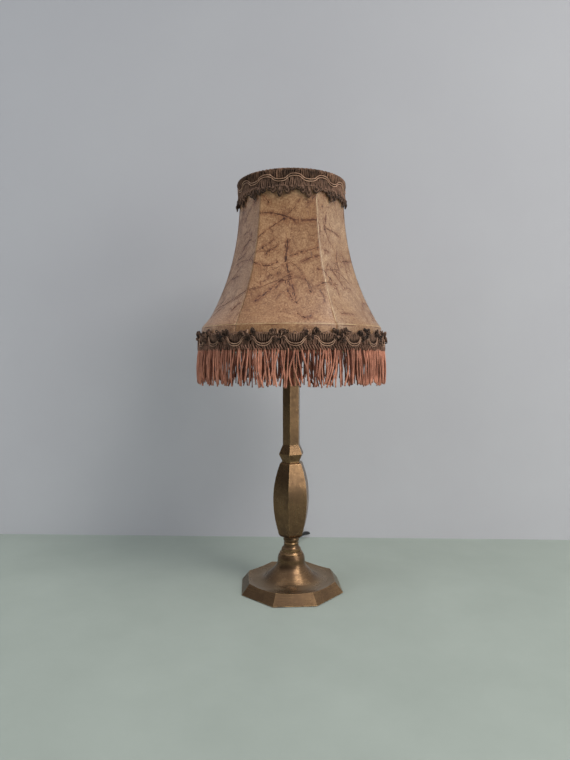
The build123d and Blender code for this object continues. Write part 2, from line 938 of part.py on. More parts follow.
def shade_ribs():
    top_height = shade_top - ring_wire
    knee_height = gallery_height - gallery_ring_drop
    foot_height = shade_bottom + ring_wire
    knee = rz(gallery_ring_radius(), knee_height)
    stations = [rib_point(share) for share in rib_shares]
    stations[0] = (knee, stations[0][1])
    stations[-1] = (rz(top_ring_radius(), top_height), stations[-1][1])
    edges = []
    for (start, way), (end, end_way) in zip(stations, stations[1:]):
        edges += biarc(start, way, end, end_way)
    upper = swept(Wire(edges), rib_wire)
    upper -= torus_at(top_ring_radius(), top_height, ring_wire + seat_gap)
    upper -= torus_at(gallery_ring_radius(), knee_height, ring_wire + seat_gap)
    lower = swept(Line(rz(bottom_ring_radius(), foot_height), knee), rib_wire)
    lower -= torus_at(gallery_ring_radius(), knee_height, ring_wire + seat_gap)
    lower -= torus_at(bottom_ring_radius(), foot_height, ring_wire + seat_gap)
    first = -90 + shade_turn + 180 / panel_count
    group = []
    for index in range(panel_count):
        turn = Rot(0, 0, first + index * 360 / panel_count)
        group += [turn * upper, turn * lower]
    return Compound(group)


def shade_spider():
    half = (bracket_span - 2 * bracket_thickness) / 2 - barrel_clearance
    barrel = extrude(Circle(barrel_radius), half, both=True)
    barrel -= extrude(Circle(pin_radius + running_clearance), half + overrun, both=True)
    spider = Pos(0, 0, pivot_height) * Rot(90, 0, 0) * barrel
    ring_height = shade_top - ring_wire
    for side in (-1, 1):
        start = (side * (barrel_radius - arm_wire / 2), 0, pivot_height + arm_wire / 2)
        end = (side * top_ring_radius(), 0, ring_height)
        arm = swept(Line(start, end), arm_wire)
        arm -= Pos(0, 0, pivot_height) * Rot(90, 0, 0) * extrude(
            Circle(pin_radius + running_clearance), half + overrun, both=True
        )
        spider += arm
    return spider - torus_at(top_ring_radius(), ring_height, ring_wire + seat_gap)


def cord_bush():
    start = rim_top_across / 2 - foot_wall
    bore = flex_radius + seat_gap
    root = flex_radius + bush_wall
    face = foot_across / 2 + seat_gap
    neck = extrude(Circle(root), face - start)
    flange = Pos(0, 0, face - start) * extrude(Circle(bush_flange_radius), bush_flange_thickness)
    tip_length = lead_route[0][1] - face - bush_flange_thickness
    tip = Pos(0, 0, face - start + bush_flange_thickness) * Solid.make_cone(
        root, flex_radius + bush_tip_wall, tip_length
    )
    bush = neck + flange + tip
    bush -= extrude(Circle(bore), lead_route[0][1] - start)
    return Pos(0, start, flex_height) * Rot(-90, 0, 0) * bush


def inner_flex():
    start = (0, lead_route[0][1], flex_height)
    bend = (0, 0, flex_height)
    end = (0, 0, insert_top() - insert_height)
    path = FilletPolyline(start, bend, end, radius=flex_bend)
    return swept(path, flex_radius)


def coil_point(turns):
    """A point of the coil's centre line after a number of turns."""
    back = coil_turns / 2
    radius = coil_inner_radius + coil_pitch * abs(turns - back)
    climb = min(max((turns - back) / coil_climb_turns + 0.5, 0), 1)
    angle = math.pi / 2 + 2 * math.pi * turns
    return Vector(
        coil_x + radius * math.cos(angle),
        coil_y + radius * math.sin(angle),
        flex_radius + coil_layer * climb,
    )


def coil_way(turns):
    low, high = max(turns - coil_way_step, 0), min(turns + coil_way_step, coil_turns)
    return (coil_point(high) - coil_point(low)).normalized()


def coil_gap():
    """The least gap between turns, measured on points of the centre line."""
    count = round(coil_turns * coil_samples_per_turn)
    points = [coil_point(index / coil_samples_per_turn) for index in range(count + 1)]
    apart = coil_samples_per_turn // 3
    least = min(
        (points[i] - points[j]).length
        for i in range(count + 1)
        for j in range(i + apart, count + 1)
    )
    return least - flex_diameter


def cord_coil():
    quarters = round(coil_turns * 4)
    edges = []
    for quarter in range(quarters):
        a, b = quarter / 4, (quarter + 1) / 4
        edges += biarc(coil_point(a), coil_way(a), coil_point(b), coil_way(b))
    start, end = coil_point(0), coil_point(coil_turns)
    edges.insert(0, Line(start - coil_way(0) * flex_diameter, start))
    edges.append(Line(end, end + coil_way(coil_turns) * flex_diameter))
    path = Wire(edges)
    gap = coil_gap()
    print(f"coil: length {path.length:.1f}, least gap between turns {gap:.2f}")
    assert gap > least_coil_gap
    return swept(path, flex_radius), path.length


def rounded_block(length, width, height, edge):
    block = extrude(RectangleRounded(width, length, edge * 2), height)
    return fillet(block.edges().group_by(Axis.Z)[-1], edge)


def switch_room():
    """The pocket for the rocker, through the switch's top."""
    return extrude(
        Rectangle(rocker_width + 2 * rocker_clearance, rocker_length + 2 * rocker_swing_room),
        switch_height + overrun,
    )


def switch_place():
    return Pos(switch_x, switch_y, 0)


def switch_passage():
    bore = extrude(Circle(flex_radius + seat_gap), switch_length, both=True)
    return Pos(0, 0, tail_route[0][2]) * Rot(90, 0, 0) * bore


def switch_noses():
    reach = switch_length / 2 + switch_nose
    nose = extrude(Circle(switch_nose_radius), reach, both=True)
    return Pos(0, 0, tail_route[0][2]) * Rot(90, 0, 0) * nose


def switch_body():
    block = rounded_block(switch_length, switch_width, switch_height, switch_edge)
    return block + switch_noses() - switch_passage()


def switch_hollow():
    width = rocker_width + 2 * rocker_clearance
    length = rocker_length + 4 * switch_wall
    return Pos(0, 0, switch_wall) * extrude(Rectangle(width, length), switch_height - 2 * switch_wall)


def switch_screw_places():
    x = switch_width / 2 - switch_screw_inset / 2 - switch_wall
    y = switch_length / 2 - switch_screw_inset
    return [Pos(x, y, 0), Pos(-x, -y, 0)]


def switch_lower():
    cut = extrude(Rectangle(switch_width + overrun, 2 * switch_length), switch_height)
    lower = switch_body() - Pos(0, 0, switch_split) * cut - switch_hollow()
    for place in switch_screw_places():
        lower -= place * extrude(Circle(switch_screw_radius + seat_gap), switch_split)
        lower -= place * extrude(Circle(switch_screw_head + seat_gap), switch_screw_head)
    return switch_place() * lower


def switch_upper():
    cut = Pos(0, 0, -switch_height) * extrude(
        Rectangle(switch_width + overrun, 2 * switch_length), switch_height + switch_split
    )
    upper = switch_body() - cut - switch_hollow() - switch_room()
    axis = extrude(Circle(rocker_pin_radius + running_clearance), rocker_width, both=True)
    upper -= Pos(0, 0, rocker_axis_height()) * Rot(0, 90, 0) * axis
    for place in switch_screw_places():
        upper -= place * extrude(Circle(switch_screw_radius + seat_gap), switch_screw_length + seat_gap)
    return switch_place() * upper


def switch_screws():
    screw = extrude(Circle(switch_screw_radius), switch_screw_length)
    screw -= extrude(Circle(switch_screw_head), seat_gap)
    screw += Pos(0, 0, seat_gap) * extrude(Circle(switch_screw_head), switch_screw_head - 2 * seat_gap)
    return switch_place() * Compound([place * screw for place in switch_screw_places()])


def rocker_axis_height():
    return switch_height - rocker_drop


def switch_rocker():
    half = rocker_length / 2
    low = switch_height - rocker_height
    crown = switch_height + rocker_proud
    side = make_face(
        [
            Line((0, -half, low + rocker_drop), (0, -half, crown)),
            ThreePointArc((0, -half, crown), (0, 0, switch_height), (0, half, crown)),
            Line((0, half, crown), (0, half, low + rocker_drop)),
            ThreePointArc((0, half, low + rocker_drop), (0, 0, low), (0, -half, low + rocker_drop)),
        ]
    )
    rocker = extrude(side, rocker_width / 2, both=True)
    reach = rocker_width / 2 + rocker_clearance + switch_wall
    axis = extrude(Circle(rocker_pin_radius), reach, both=True)
    rocker += Pos(0, 0, rocker_axis_height()) * Rot(0, 90, 0) * axis
    tilted = Pos(0, 0, rocker_axis_height()) * Rot(-rocker_rest_tilt, 0, 0) * Pos(0, 0, -rocker_axis_height())
    return switch_place() * tilted * rocker


def plug_place():
    return Pos(plug_x, plug_y, plug_height / 2) * Rot(-90, 0, 0)


def plug_body():
    back = RectangleRounded(plug_waist, plug_height - plug_edge, plug_edge)
    front = RectangleRounded(plug_width, plug_height, plug_edge)
    body = loft([back, Pos(0, 0, plug_length / 2) * front, Pos(0, 0, plug_length) * front], ruled=True)
    relief = Pos(0, 0, -plug_relief_length) * Solid.make_cone(
        flex_radius + bush_tip_wall, plug_relief_radius, plug_relief_length
    )
    body += relief
    for side in (-1, 1):
        socket = Pos(side * pin_spacing / 2, 0, plug_length - plug_pin_root)
        body -= socket * extrude(Circle(plug_pin_radius), plug_pin_root)
    return plug_place() * body


def plug_pins():
    group = []
    for side in (-1, 1):
        root = Pos(side * pin_spacing / 2, 0, plug_length - plug_pin_root)
        pin = extrude(Circle(plug_pin_radius), plug_pin_root + plug_pin_length)
        group.append(root * fillet(pin.edges().group_by(Axis.Z)[-1], plug_pin_radius / 2))
    return plug_place() * Compound(group)


def save(node, solid):
    solid.label = node
    export_step(solid, f"parts/{node}.step")


def main():
    os.makedirs("parts", exist_ok=True)
    lead, lead_length = tube(lead_route, "lead")
    tail, tail_length = tube(tail_route, "tail")
    end, end_length = tube(end_route, "end")
    coil, coil_length = cord_coil()
    total = lead_length + tail_length + end_length + coil_length + switch_length
    print(f"cord: {total:.0f} of {cord_length_wanted:.0f} mm outside the lamp")
    nodes = {
        "base_foot": base_foot(),
        "base_felt": base_felt(),
        "rod_washer": rod_washer(),
        "rod_nut": rod_nut(),
        "threaded_rod": threaded_rod(),
        "neck_spool": neck_spool(),
        "baluster": baluster(),
        "stem": stem(),
        "stem_cap": stem_cap(),
        "holder_base": holder_base(),
        "holder_shell": holder_shell(),
        "holder_insert": holder_insert(),
        "terminal_screws": terminal_screws(),
        "centre_contact": centre_contact(),
        "thread_shell": thread_shell(),
        "inner_flex": inner_flex(),
        "cord_bush": cord_bush(),
        "bulb_glass": bulb_glass(),
        "bulb_cap": bulb_cap(),
        "bulb_insulator": bulb_insulator(),
        "bulb_contact": bulb_contact(),
        "bulb_mount": bulb_mount(),
        "bulb_filament": bulb_filament(),
        "clip_hub": clip_hub(),
        "clip_loops": clip_loops(),
        "clip_rivet": clip_rivet(),
        "swivel_bracket": swivel_bracket(),
        "tilt_pin": tilt_pin(),
        "shade_spider": shade_spider(),
        "shade_top_ring": shade_top_ring(),
        "shade_gallery_ring": shade_gallery_ring(),
        "shade_bottom_ring": shade_bottom_ring(),
        "shade_ribs": shade_ribs(),
        "top_braid": top_braid(),
        "bottom_braid": bottom_braid(),
        "fringe": fringe(),
        "cord_lead": lead,
        "cord_tail": tail,
        "cord_coil": coil,
        "cord_end": end,
        "switch_lower": switch_lower(),
        "switch_upper": switch_upper(),
        "switch_rocker": switch_rocker(),
        "switch_screws": switch_screws(),
        "plug_body": plug_body(),
        "plug_pins": plug_pins(),
    }
    for index in range(panel_count):
        nodes[f"shade_panel_{index + 1}"] = shade_panel(index)
    for node, solid in nodes.items():
        save(node, solid)


main()
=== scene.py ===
import bpy
import json
from math import atan2, cos, exp, hypot, pi, radians, sin, sqrt
import random
from mathutils import Matrix, Vector
from mathutils.kdtree import KDTree


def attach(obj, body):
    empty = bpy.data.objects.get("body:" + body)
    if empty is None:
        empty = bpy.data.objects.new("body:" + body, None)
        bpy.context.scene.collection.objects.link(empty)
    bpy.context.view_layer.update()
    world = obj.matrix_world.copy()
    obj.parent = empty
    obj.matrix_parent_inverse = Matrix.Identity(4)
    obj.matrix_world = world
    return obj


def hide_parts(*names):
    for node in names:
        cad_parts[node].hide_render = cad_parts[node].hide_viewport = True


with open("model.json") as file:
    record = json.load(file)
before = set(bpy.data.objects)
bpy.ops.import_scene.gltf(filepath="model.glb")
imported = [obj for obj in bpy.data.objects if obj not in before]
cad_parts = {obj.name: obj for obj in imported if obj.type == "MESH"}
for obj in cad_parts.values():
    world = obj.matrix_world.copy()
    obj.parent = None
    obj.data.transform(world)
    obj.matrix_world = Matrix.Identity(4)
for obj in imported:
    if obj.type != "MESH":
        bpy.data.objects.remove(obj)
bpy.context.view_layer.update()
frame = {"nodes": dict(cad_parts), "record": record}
scene = bpy.context.scene
nodes = frame["nodes"]
MM = 0.001

# Camera at the photograph's viewpoint, turned with the lamp; the focal length is in pixels
PHOTO_WIDTH, PHOTO_HEIGHT = 570, 760
FOCAL = 571.0
SENSOR_HEIGHT = 24.0
CAMERA_PLACE = (-6.7, -608.8, 246.7)
TURN = radians(-3.5)
PITCH = 0.0386
turned = Matrix.Rotation(TURN, 4, "Z")


def from_view(x, y, z):
    """A point given square to the camera, in millimetres, as a point of the row frame."""
    return turned @ Vector((x * MM, y * MM, z * MM))


camera_data = bpy.data.cameras.new("camera")
camera_data.sensor_fit = "VERTICAL"
camera_data.sensor_height = SENSOR_HEIGHT
camera_data.lens = SENSOR_HEIGHT * FOCAL / PHOTO_HEIGHT
camera_data.clip_start = 0.01
camera = bpy.data.objects.new("camera", camera_data)
camera.location = from_view(*CAMERA_PLACE)
camera.rotation_euler = (pi / 2 - PITCH, 0, TURN)
scene.collection.objects.link(camera)
scene.camera = camera
scene.view_settings.view_transform = "Standard"


def new_object(name, data):
    obj = bpy.data.objects.new(name, data)
    scene.collection.objects.link(obj)
    return obj


# Cord: one line from the bush over the table, through the switch and round its coil to the plug
CORD_THICK = 4.6
LEAD = [
    (0.0, 67.5, 5.3), (0.0, 79.5, 5.3), (1.6, 94.0, 3.2), (5.5, 110.0, 2.4), (10.5, 128.0, 2.5),
    (16.6, 147.0, 2.9), (23.0, 160.0, 5.6), (35.0, 168.0, 6.4), (48.0, 172.6, 3.3), (69.3, 174.8, 2.5),
    (81.4, 183.6, 3.8), (88.0, 196.0, 5.6), (88.0, 208.0, 5.6),
]
TAIL = [
    (88.0, 276.0, 5.6), (88.0, 287.5, 5.6), (82.3, 300.3, 4.0), (71.0, 309.5, 2.5), (56.4, 312.8, 2.4),
    (40.5, 308.0, 2.5), (26.0, 298.9, 2.4), (14.5, 288.7, 2.5), (0.0, 281.94, 2.3), (-15.4, 281.6, 2.3),
]
END = [
    (-15.4, 206.4, 7.35), (-0.5, 206.08, 7.35), (15.3, 204.8, 5.6), (29.2, 206.7, 3.6),
    (40.8, 214.6, 4.6), (47.4, 227.0, 6.85), (47.4, 239.0, 6.85),
]
COIL_CENTRE = (-20.0, 244.0)
COIL_RADIUS = 18.375
COIL_PITCH = 5.1
COIL_LAYER = 5.05
LAYER_TURNS = 3.75
TURN_STEPS = 16


def coil_point(turns):
    """A point of the coil, which winds in on the table and out again in a layer above."""
    past = turns - LAYER_TURNS
    radius = COIL_RADIUS + COIL_PITCH * abs(past)
    climb = min(max(2 * past + 0.5, 0), 1)
    angle = pi / 2 + 2 * pi * turns
    x, y = COIL_CENTRE
    return x + radius * cos(angle), y + radius * sin(angle), CORD_THICK / 2 + COIL_LAYER * climb


COIL = [coil_point(step / TURN_STEPS) for step in range(int(2 * LAYER_TURNS * TURN_STEPS) + 1)]
ROUTE = LEAD + TAIL + COIL + END
cord_data = bpy.data.curves.new("cord", "CURVE")
cord_data.dimensions = "3D"
cord_data.bevel_depth = CORD_THICK / 2 * MM
cord_data.bevel_resolution = 4
cord_data.resolution_u = 4
cord_data.use_fill_caps = True
spline = cord_data.splines.new("NURBS")
spline.points.add(len(ROUTE) - 1)
for point, place in zip(spline.points, ROUTE):
    point.co = (place[0] * MM, place[1] * MM, place[2] * MM, 1)
spline.order_u = 3
spline.use_endpoint_u = True
cord = new_object("cord", cord_data)


# Node trees: the pieces' materials, on their own coordinates, and the sky
class Tree:
    def __init__(self, tree):
        self.tree = tree

    def add(self, kind, inputs=None, **settings):
        node = self.tree.nodes.new("ShaderNode" + kind)
        for key, value in settings.items():
            setattr(node, key, value)
        for socket, value in (inputs or {}).items():
            self.put(node.inputs[socket], value)
        return node

    def link(self, source, target):
        self.tree.links.new(source, target)

    def put(self, socket, value):
        if hasattr(value, "is_output"):
            self.link(value, socket)
        else:
            socket.default_value = value

    def span(self, value, low, high, to_low=0.0, to_high=1.0):
        limits = {"From Min": low, "From Max": high, "To Min": to_low, "To Max": to_high}
        return self.add("MapRange", {"Value": value, **limits}).outputs["Result"]

    def combine(self, operation, first, second):
        return self.add("Math", {0: first, 1: second}, operation=operation).outputs[0]

    def plus(self, first, second):
        return self.combine("ADD", first, second)

    def times(self, first, second):
        return self.combine("MULTIPLY", first, second)

    def most(self, first, second):
        return self.combine("MAXIMUM", first, second)

    def axes(self, vector):
        return self.add("SeparateXYZ", {0: vector}).outputs


class Finish(Tree):
    def __init__(self, name, metallic=0.0, rough=0.5, **sockets):
        self.material = bpy.data.materials.new(name)
        self.material.use_nodes = True
        super().__init__(self.material.node_tree)
        self.tree.nodes.clear()
        self.out = self.add("OutputMaterial")
        self.shader = self.add("BsdfPrincipled", {"Metallic": metallic, "Roughness": rough})
        self.link(self.shader.outputs[0], self.out.inputs["Surface"])
        for socket, value in sockets.items():
            self.put(self.shader.inputs[socket.replace("_", " ")], value)
        coordinates = self.add("TexCoord")
        self.place = coordinates.outputs["Object"]
        self.uv = coordinates.outputs["UV"]

    def mapped(self, scale=(1, 1, 1), turn=(0, 0, 0), shift=(0, 0, 0), source=None):
        vector = source or self.place
        inputs = {"Scale": scale, "Rotation": turn, "Location": shift, "Vector": vector}
        return self.add("Mapping", inputs).outputs[0]

    def noise(self, scale, detail=4.0, rough=0.55, twist=0.0, source=None, output="Fac"):
        inputs = {"Scale": scale, "Detail": detail, "Roughness": rough, "Distortion": twist}
        return self.add("TexNoise", {**inputs, "Vector": source or self.place}).outputs[output]

    def cells(self, scale, source):
        inputs = {"Scale": scale, "Vector": source}
        return self.add("TexVoronoi", inputs, feature="DISTANCE_TO_EDGE").outputs["Distance"]

    def slanted(self, across, up):
        """How far a point lies from the middle of slanting lines on the uv map, 0 to 0.5."""
        way = self.axes(self.uv)
        slope = self.plus(self.times(way["X"], across), self.times(way["Y"], up))
        return self.combine("ABSOLUTE", self.combine("SUBTRACT", self.combine("FRACT", slope, 1.0), 0.5), 0.0)

    def mix(self, share, first, second):
        return self.add("Mix", {0: share, 6: first, 7: second}, data_type="RGBA").outputs[2]

    def begin(self, share, first, second):
        self.base = self.mix(share, first, second)

    def layer(self, share, colour):
        """Lays a colour over the base."""
        self.base = self.mix(share, self.base, colour)

    def colour(self, source):
        self.put(self.shader.inputs["Base Color"], source)

    def rough(self, source):
        self.link(source, self.shader.inputs["Roughness"])

    def bump(self, height, distance, strength=1.0):
        node = self.add("Bump", {"Strength": strength, "Distance": distance, "Height": height})
        self.link(node.outputs[0], self.shader.inputs["Normal"])

    def worn_edge(self, radius):
        """1 along convex and concave edges, from the bevelled normal."""
        bevel = self.add("Bevel", {"Radius": radius}, samples=6)
        normal = self.add("NewGeometry").outputs["Normal"]
        dot = self.add("VectorMath", {0: bevel.outputs[0], 1: normal}, operation="DOT_PRODUCT")
        return self.span(dot.outputs["Value"], 1.0, 0.9)


def rgb(red, green, blue):
    """A colour as it looks on screen, 0 to 255, for a shader."""
    channels = []
    for value in (red, green, blue):
        value /= 255
        channels.append(value / 12.92 if value <= 0.04045 else ((value + 0.055) / 1.055) ** 2.4)
    return (*channels, 1.0)


def tinted(colour, tint):
    return tuple(channel * share for channel, share in zip(colour, tint))


def brass_finish(name, streaks):
    f = Finish(name, metallic=0.86, rough=0.4)
    cloud = f.span(f.noise(26, 5), 0.35, 0.68)
    fine = f.noise(420, 4, 0.7)
    stain = f.span(f.noise(75, 6, 0.65, 0.6), 0.46, 0.64)
    f.begin(cloud, rgb(112, 88, 64), rgb(142, 112, 80))
    f.layer(f.span(fine, 0.35, 0.7, 0, 0.35), rgb(84, 62, 44))
    f.layer(f.times(stain, 0.5), rgb(86, 66, 50))
    pits = f.span(f.noise(900, 3, 0.8), 0.66, 0.76)
    f.layer(f.times(pits, 0.7), rgb(48, 36, 28))
    worn = f.times(f.worn_edge(0.0009), f.span(f.noise(160, 3), 0.35, 0.6))
    f.layer(f.times(worn, 0.75), rgb(206, 168, 118))
    # Upward faces paler: partly settled dust, partly painted light standing in for the bright room they
    # reflect.
    facing = f.axes(f.add("NewGeometry").outputs["Normal"])
    dust = f.span(facing["Z"], 0.72, 0.98, 0.0, 0.38)
    f.layer(dust, rgb(176, 154, 126))
    f.colour(f.base)
    brushed = f.noise(60, 5, 0.7, 0, f.mapped(streaks))
    rough = f.plus(f.span(brushed, 0.3, 0.7, 0.2, 0.36), f.times(stain, 0.1))
    f.rough(rough)
    f.bump(f.plus(f.times(brushed, 0.6), f.times(fine, 0.5)), 0.00006)
    return f.material


turned_brass = brass_finish("turned_brass", (0.25, 0.25, 14))
drawn_brass = brass_finish("drawn_brass", (9, 9, 0.5))


def plain_metal(name, colour, dark, rough, scale=300, metallic=1.0):
    f = Finish(name, metallic=metallic, rough=rough)
    cloud = f.span(f.noise(scale / 6, 4), 0.35, 0.65)
    grain = f.noise(scale, 4, 0.7)
    f.colour(f.mix(f.plus(cloud, f.span(grain, 0.4, 0.8, 0, 0.5)), colour, dark))
    f.rough(f.span(grain, 0.3, 0.7, rough - 0.07, rough + 0.12))
    f.bump(grain, 0.00003)
    return f.material


def moulded(name, colour, dust, rough, grain_scale=1400, **sockets):
    f = Finish(name, rough=rough, **sockets)
    cloud = f.span(f.noise(60, 4), 0.4, 0.7)
    grain = f.noise(grain_scale, 3, 0.6)
    f.colour(f.mix(f.times(cloud, 0.5), colour, dust))
    f.rough(f.span(cloud, 0, 1, rough - 0.05, rough + 0.12))
    f.bump(grain, 0.00004)
    return f.material


def glass_finish(name):
    f = Finish(name, rough=0.03, Transmission_Weight=1.0, IOR=1.02)
    dust = f.span(f.noise(140, 5, 0.7), 0.45, 0.8)
    f.colour(f.mix(dust, rgb(252, 250, 244), rgb(226, 218, 200)))
    f.rough(f.span(dust, 0, 1, 0.02, 0.16))
    return f.material


FINISHES = {
    "felt": moulded("felt", rgb(62, 66, 56), rgb(86, 84, 74), 0.95, 2600, Sheen_Weight=0.4),
    "steel": plain_metal("zinc_steel", rgb(178, 176, 170), rgb(120, 116, 108), 0.34),
    "wire": plain_metal("lacquered_wire", rgb(214, 206, 188), rgb(170, 150, 118), 0.45, 220, 0.0),
    "bakelite": moulded("bakelite", rgb(44, 32, 26), rgb(70, 54, 42), 0.32),
    "contact": plain_metal("bright_brass", rgb(214, 178, 104), rgb(150, 116, 62), 0.28),
    "flex": moulded("flex_sheath", rgb(14, 14, 16), rgb(38, 37, 38), 0.42, 900),
    "plastic": moulded("black_plastic", rgb(16, 16, 18), rgb(40, 40, 42), 0.3, 1800),
    "nickel": plain_metal("nickel", rgb(206, 202, 196), rgb(160, 154, 146), 0.18),
    "glass": glass_finish("clear_glass"),
}
for entry in frame["record"]["subparts"]:
    chosen = FINISHES.get(entry["material_slot"])
    if entry["material_slot"] == "brass":
        chosen = drawn_brass if entry["node"] in ("baluster", "stem") else turned_brass
    if chosen:
        slots = nodes[entry["node"]].data.materials
        slots.clear()
        slots.append(chosen)

cord.data.materials.append(FINISHES["flex"])
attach(cord, "lamp")
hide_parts("cord_lead", "cord_tail", "cord_coil", "cord_end")

# Shade cover: six glued panels of mottled parchment over the wire frame, sizes in millimetres
WAIST, GALLERY, BOTTOM = 54.5, 94.3, 96.2
TOP_Z, GALLERY_Z, BOTTOM_Z = 427.6, 277.4, 252.5
COVER_THICK = 0.7
SHADE_TURN = radians(-7.7)
PANELS = 6
HALF = pi / PANELS
SPREAD_POWER = 2.38
ROUND_ENDS = 0.016
FLATTEST = 0.06


def bell(z):
    """The cover's radius at a rib, and how much of its round it keeps between ribs."""
    if z <= GALLERY_Z:
        return BOTTOM + (GALLERY - BOTTOM) * (z - BOTTOM_Z) / (GALLERY_Z - BOTTOM_Z), 1.0
    share = min((z - GALLERY_Z) / (TOP_Z - GALLERY_Z), 1)
    off = min(abs(2 * share - 1) / (1 - 2 * ROUND_ENDS), 1)
    return WAIST + (GALLERY - WAIST) * (1 - share) ** SPREAD_POWER, FLATTEST + (1 - FLATTEST) * off**3


def cover_radius(angle, z):
    """The cover's distance from the axis at an angle from panel 1's middle, in radians."""
    radius, bulge = bell(z)
    side = radius * sin(HALF)
    rise = radius * (1 - cos(HALF)) * bulge
    arc = (side * side + rise * rise) / (2 * rise)
    centre = radius * cos(HALF) + rise - arc
    within = (angle + HALF) % (2 * HALF) - HALF
    return centre * cos(within) + sqrt(arc * arc - (centre * sin(within)) ** 2)


def on_cover(angle, z, proud=0.0):
    """A point on the cover in metres, from an angle in radians, a height and a lift in millimetres."""
    radius = cover_radius(angle, z) + proud
    turn = angle - pi / 2 + SHADE_TURN
    return Vector((radius * cos(turn) * MM, radius * sin(turn) * MM, z * MM))


def mesh_piece(name, points, faces, material, body, uvs=None):
    mesh = bpy.data.meshes.new(name)
    mesh.from_pydata([tuple(point) for point in points], [], faces)
    mesh.polygons.foreach_set("use_smooth", [True] * len(mesh.polygons))
    if uvs:
        layer = mesh.uv_layers.new(name="UVMap")
        layer.data.foreach_set("uv", [number for face in faces for corner in face for number in uvs[corner]])
    mesh.materials.append(material)
    mesh.validate()
    obj = new_object(name, mesh)
    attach(obj, body)
    return obj


def strands(paths, radius, sides, twist, ply, scatter):
    """Points, faces and uvs of round strands along paths in metres; ply gives them two lobes that turn."""
    points, faces, uvs = [], [], []
    for path in paths:
        base = len(points)
        along = 0.0
        count = len(path)
        way = (path[1] - path[0]).normalized()
        side = way.cross(Vector((0.31, 0.52, 0.79))).normalized()
        phase = dice.random() * 6.28
        size = radius * (1 + scatter * (dice.random() - 0.5))
        for index, point in enumerate(path):
            ahead = path[min(index + 1, count - 1)] - path[max(index - 1, 0)]
            way = ahead.normalized() if ahead.length else way
            side = (side - way * side.dot(way)).normalized()
            other = way.cross(side)
            if index:
                along += (point - path[index - 1]).length
            for corner in range(sides):
                angle = 2 * pi * corner / sides
                lobe = 1 + ply * cos(2 * (angle - phase) - twist * along)
                reach = size * lobe * MM
                points.append(point + (side * cos(angle) + other * sin(angle)) * reach)
                uvs.append((corner / sides, along * 1000))
        for index in range(count - 1):
            for corner in range(sides):
                a = base + index * sides + corner
                b = base + index * sides + (corner + 1) % sides
                faces.append((a, b, b + sides, a + sides))
        faces.append(tuple(base + corner for corner in reversed(range(sides))))
        faces.append(tuple(base + (count - 1) * sides + corner for corner in range(sides)))
    return points, faces, uvs


def yarns(name, paths, radius, material, sides=6, twist=2400, ply=0.1, scatter=0.3):
    """A piece of the shade made of strands, which draw their sizes from the dice."""
    points, faces, uvs = strands(paths, radius, sides, twist, ply, scatter)
    return mesh_piece(name, points, faces, material, "shade", uvs)


def smooth_path(controls, steps=4):
    """A smooth curve through points, with a number of steps between each two."""
    points = []
    for index in range(len(controls) - 1):
        p0 = controls[max(index - 1, 0)]
        p1, p2 = controls[index], controls[index + 1]
        p3 = controls[min(index + 2, len(controls) - 1)]
        for step in range(steps):
            t = step / steps
            slope = (p2 - p0) * t
            curve = (2 * p0 - 5 * p1 + 4 * p2 - p3) * t * t
            points.append(0.5 * ((2 * p1) + slope + curve + (3 * p1 - 3 * p2 + p3 - p0) * t ** 3))
    points.append(controls[-1])
    return points


def ribbon(line, widths, lift):
    """A thin strip lying on the cover along (angle, height) points, with a width at each, in millimetres."""
    points, faces = [], []
    for index, (angle, z) in enumerate(line):
        before, after = line[max(index - 1, 0)], line[min(index + 1, len(line) - 1)]
        middle = on_cover(angle, z, lift)
        way = (on_cover(after[0], after[1]) - on_cover(before[0], before[1])).normalized()
        out = Vector((middle.x, middle.y, 0)).normalized()
        side = way.cross(out).normalized() * widths[index] * MM / 2
        for share in (-1, 0, 1):
            points.append(middle + side * share + out * (0.02 * MM if share == 0 else 0))
        if index:
            base = 3 * index
            for a in (base, base + 1):
                faces.append((a - 3, a - 2, a + 1, a))
    return points, faces


# Veins of the skin, drawn on the cover as fine tapering lines
VEIN_STEP = 1.6
VEIN_TOP = 412
VEIN_LIFT = 0.05
SPOT_LIFT = 0.07
FULL_TURN = 6.28


def round_cover(angle, z):
    """How far round the cover an angle lies at a height, in millimetres."""
    return angle * bell(z)[0]


def wander(x, z, heading, length, seed, bend=0.3):
    """A crooked line on the cover from x across it and a height, as (angle, height) points."""
    walk = random.Random(seed)
    line = []
    for _ in range(max(3, int(length / VEIN_STEP))):
        line.append((x / bell(z)[0], z))
        heading += walk.uniform(-bend, bend)
        x += VEIN_STEP * cos(heading)
        z += VEIN_STEP * sin(heading)
        if not GALLERY_Z + 2 < z < VEIN_TOP:
            break
    return line


stains = []


def vein_strips(line, width, seed):
    """Breaks a line into irregular dashes with tapered ends, and notes the stain that lies round it."""
    cut = random.Random(seed)
    stains.extend((on_cover(*spot), min(1.0, 0.35 + width * 0.6)) for spot in line)
    out = []
    index = 0
    while index < len(line) - 2:
        size = cut.randint(2, 7)
        piece = line[index:index + size + 1]
        if len(piece) > 2:
            top = width * cut.choice((0.35, 0.6, 0.9, 1.35)) * cut.uniform(0.85, 1.15)
            count = len(piece)
            widths = []
            for number in range(count):
                swell = sin(pi * (number + 0.3) / (count - 0.4)) * cut.uniform(0.6, 1.0)
                widths.append(max(top * (0.15 + swell), 0.08))
            out.append(ribbon(piece, widths, VEIN_LIFT))
        index += size + (1 if cut.random() < 0.5 else 0)
    return out


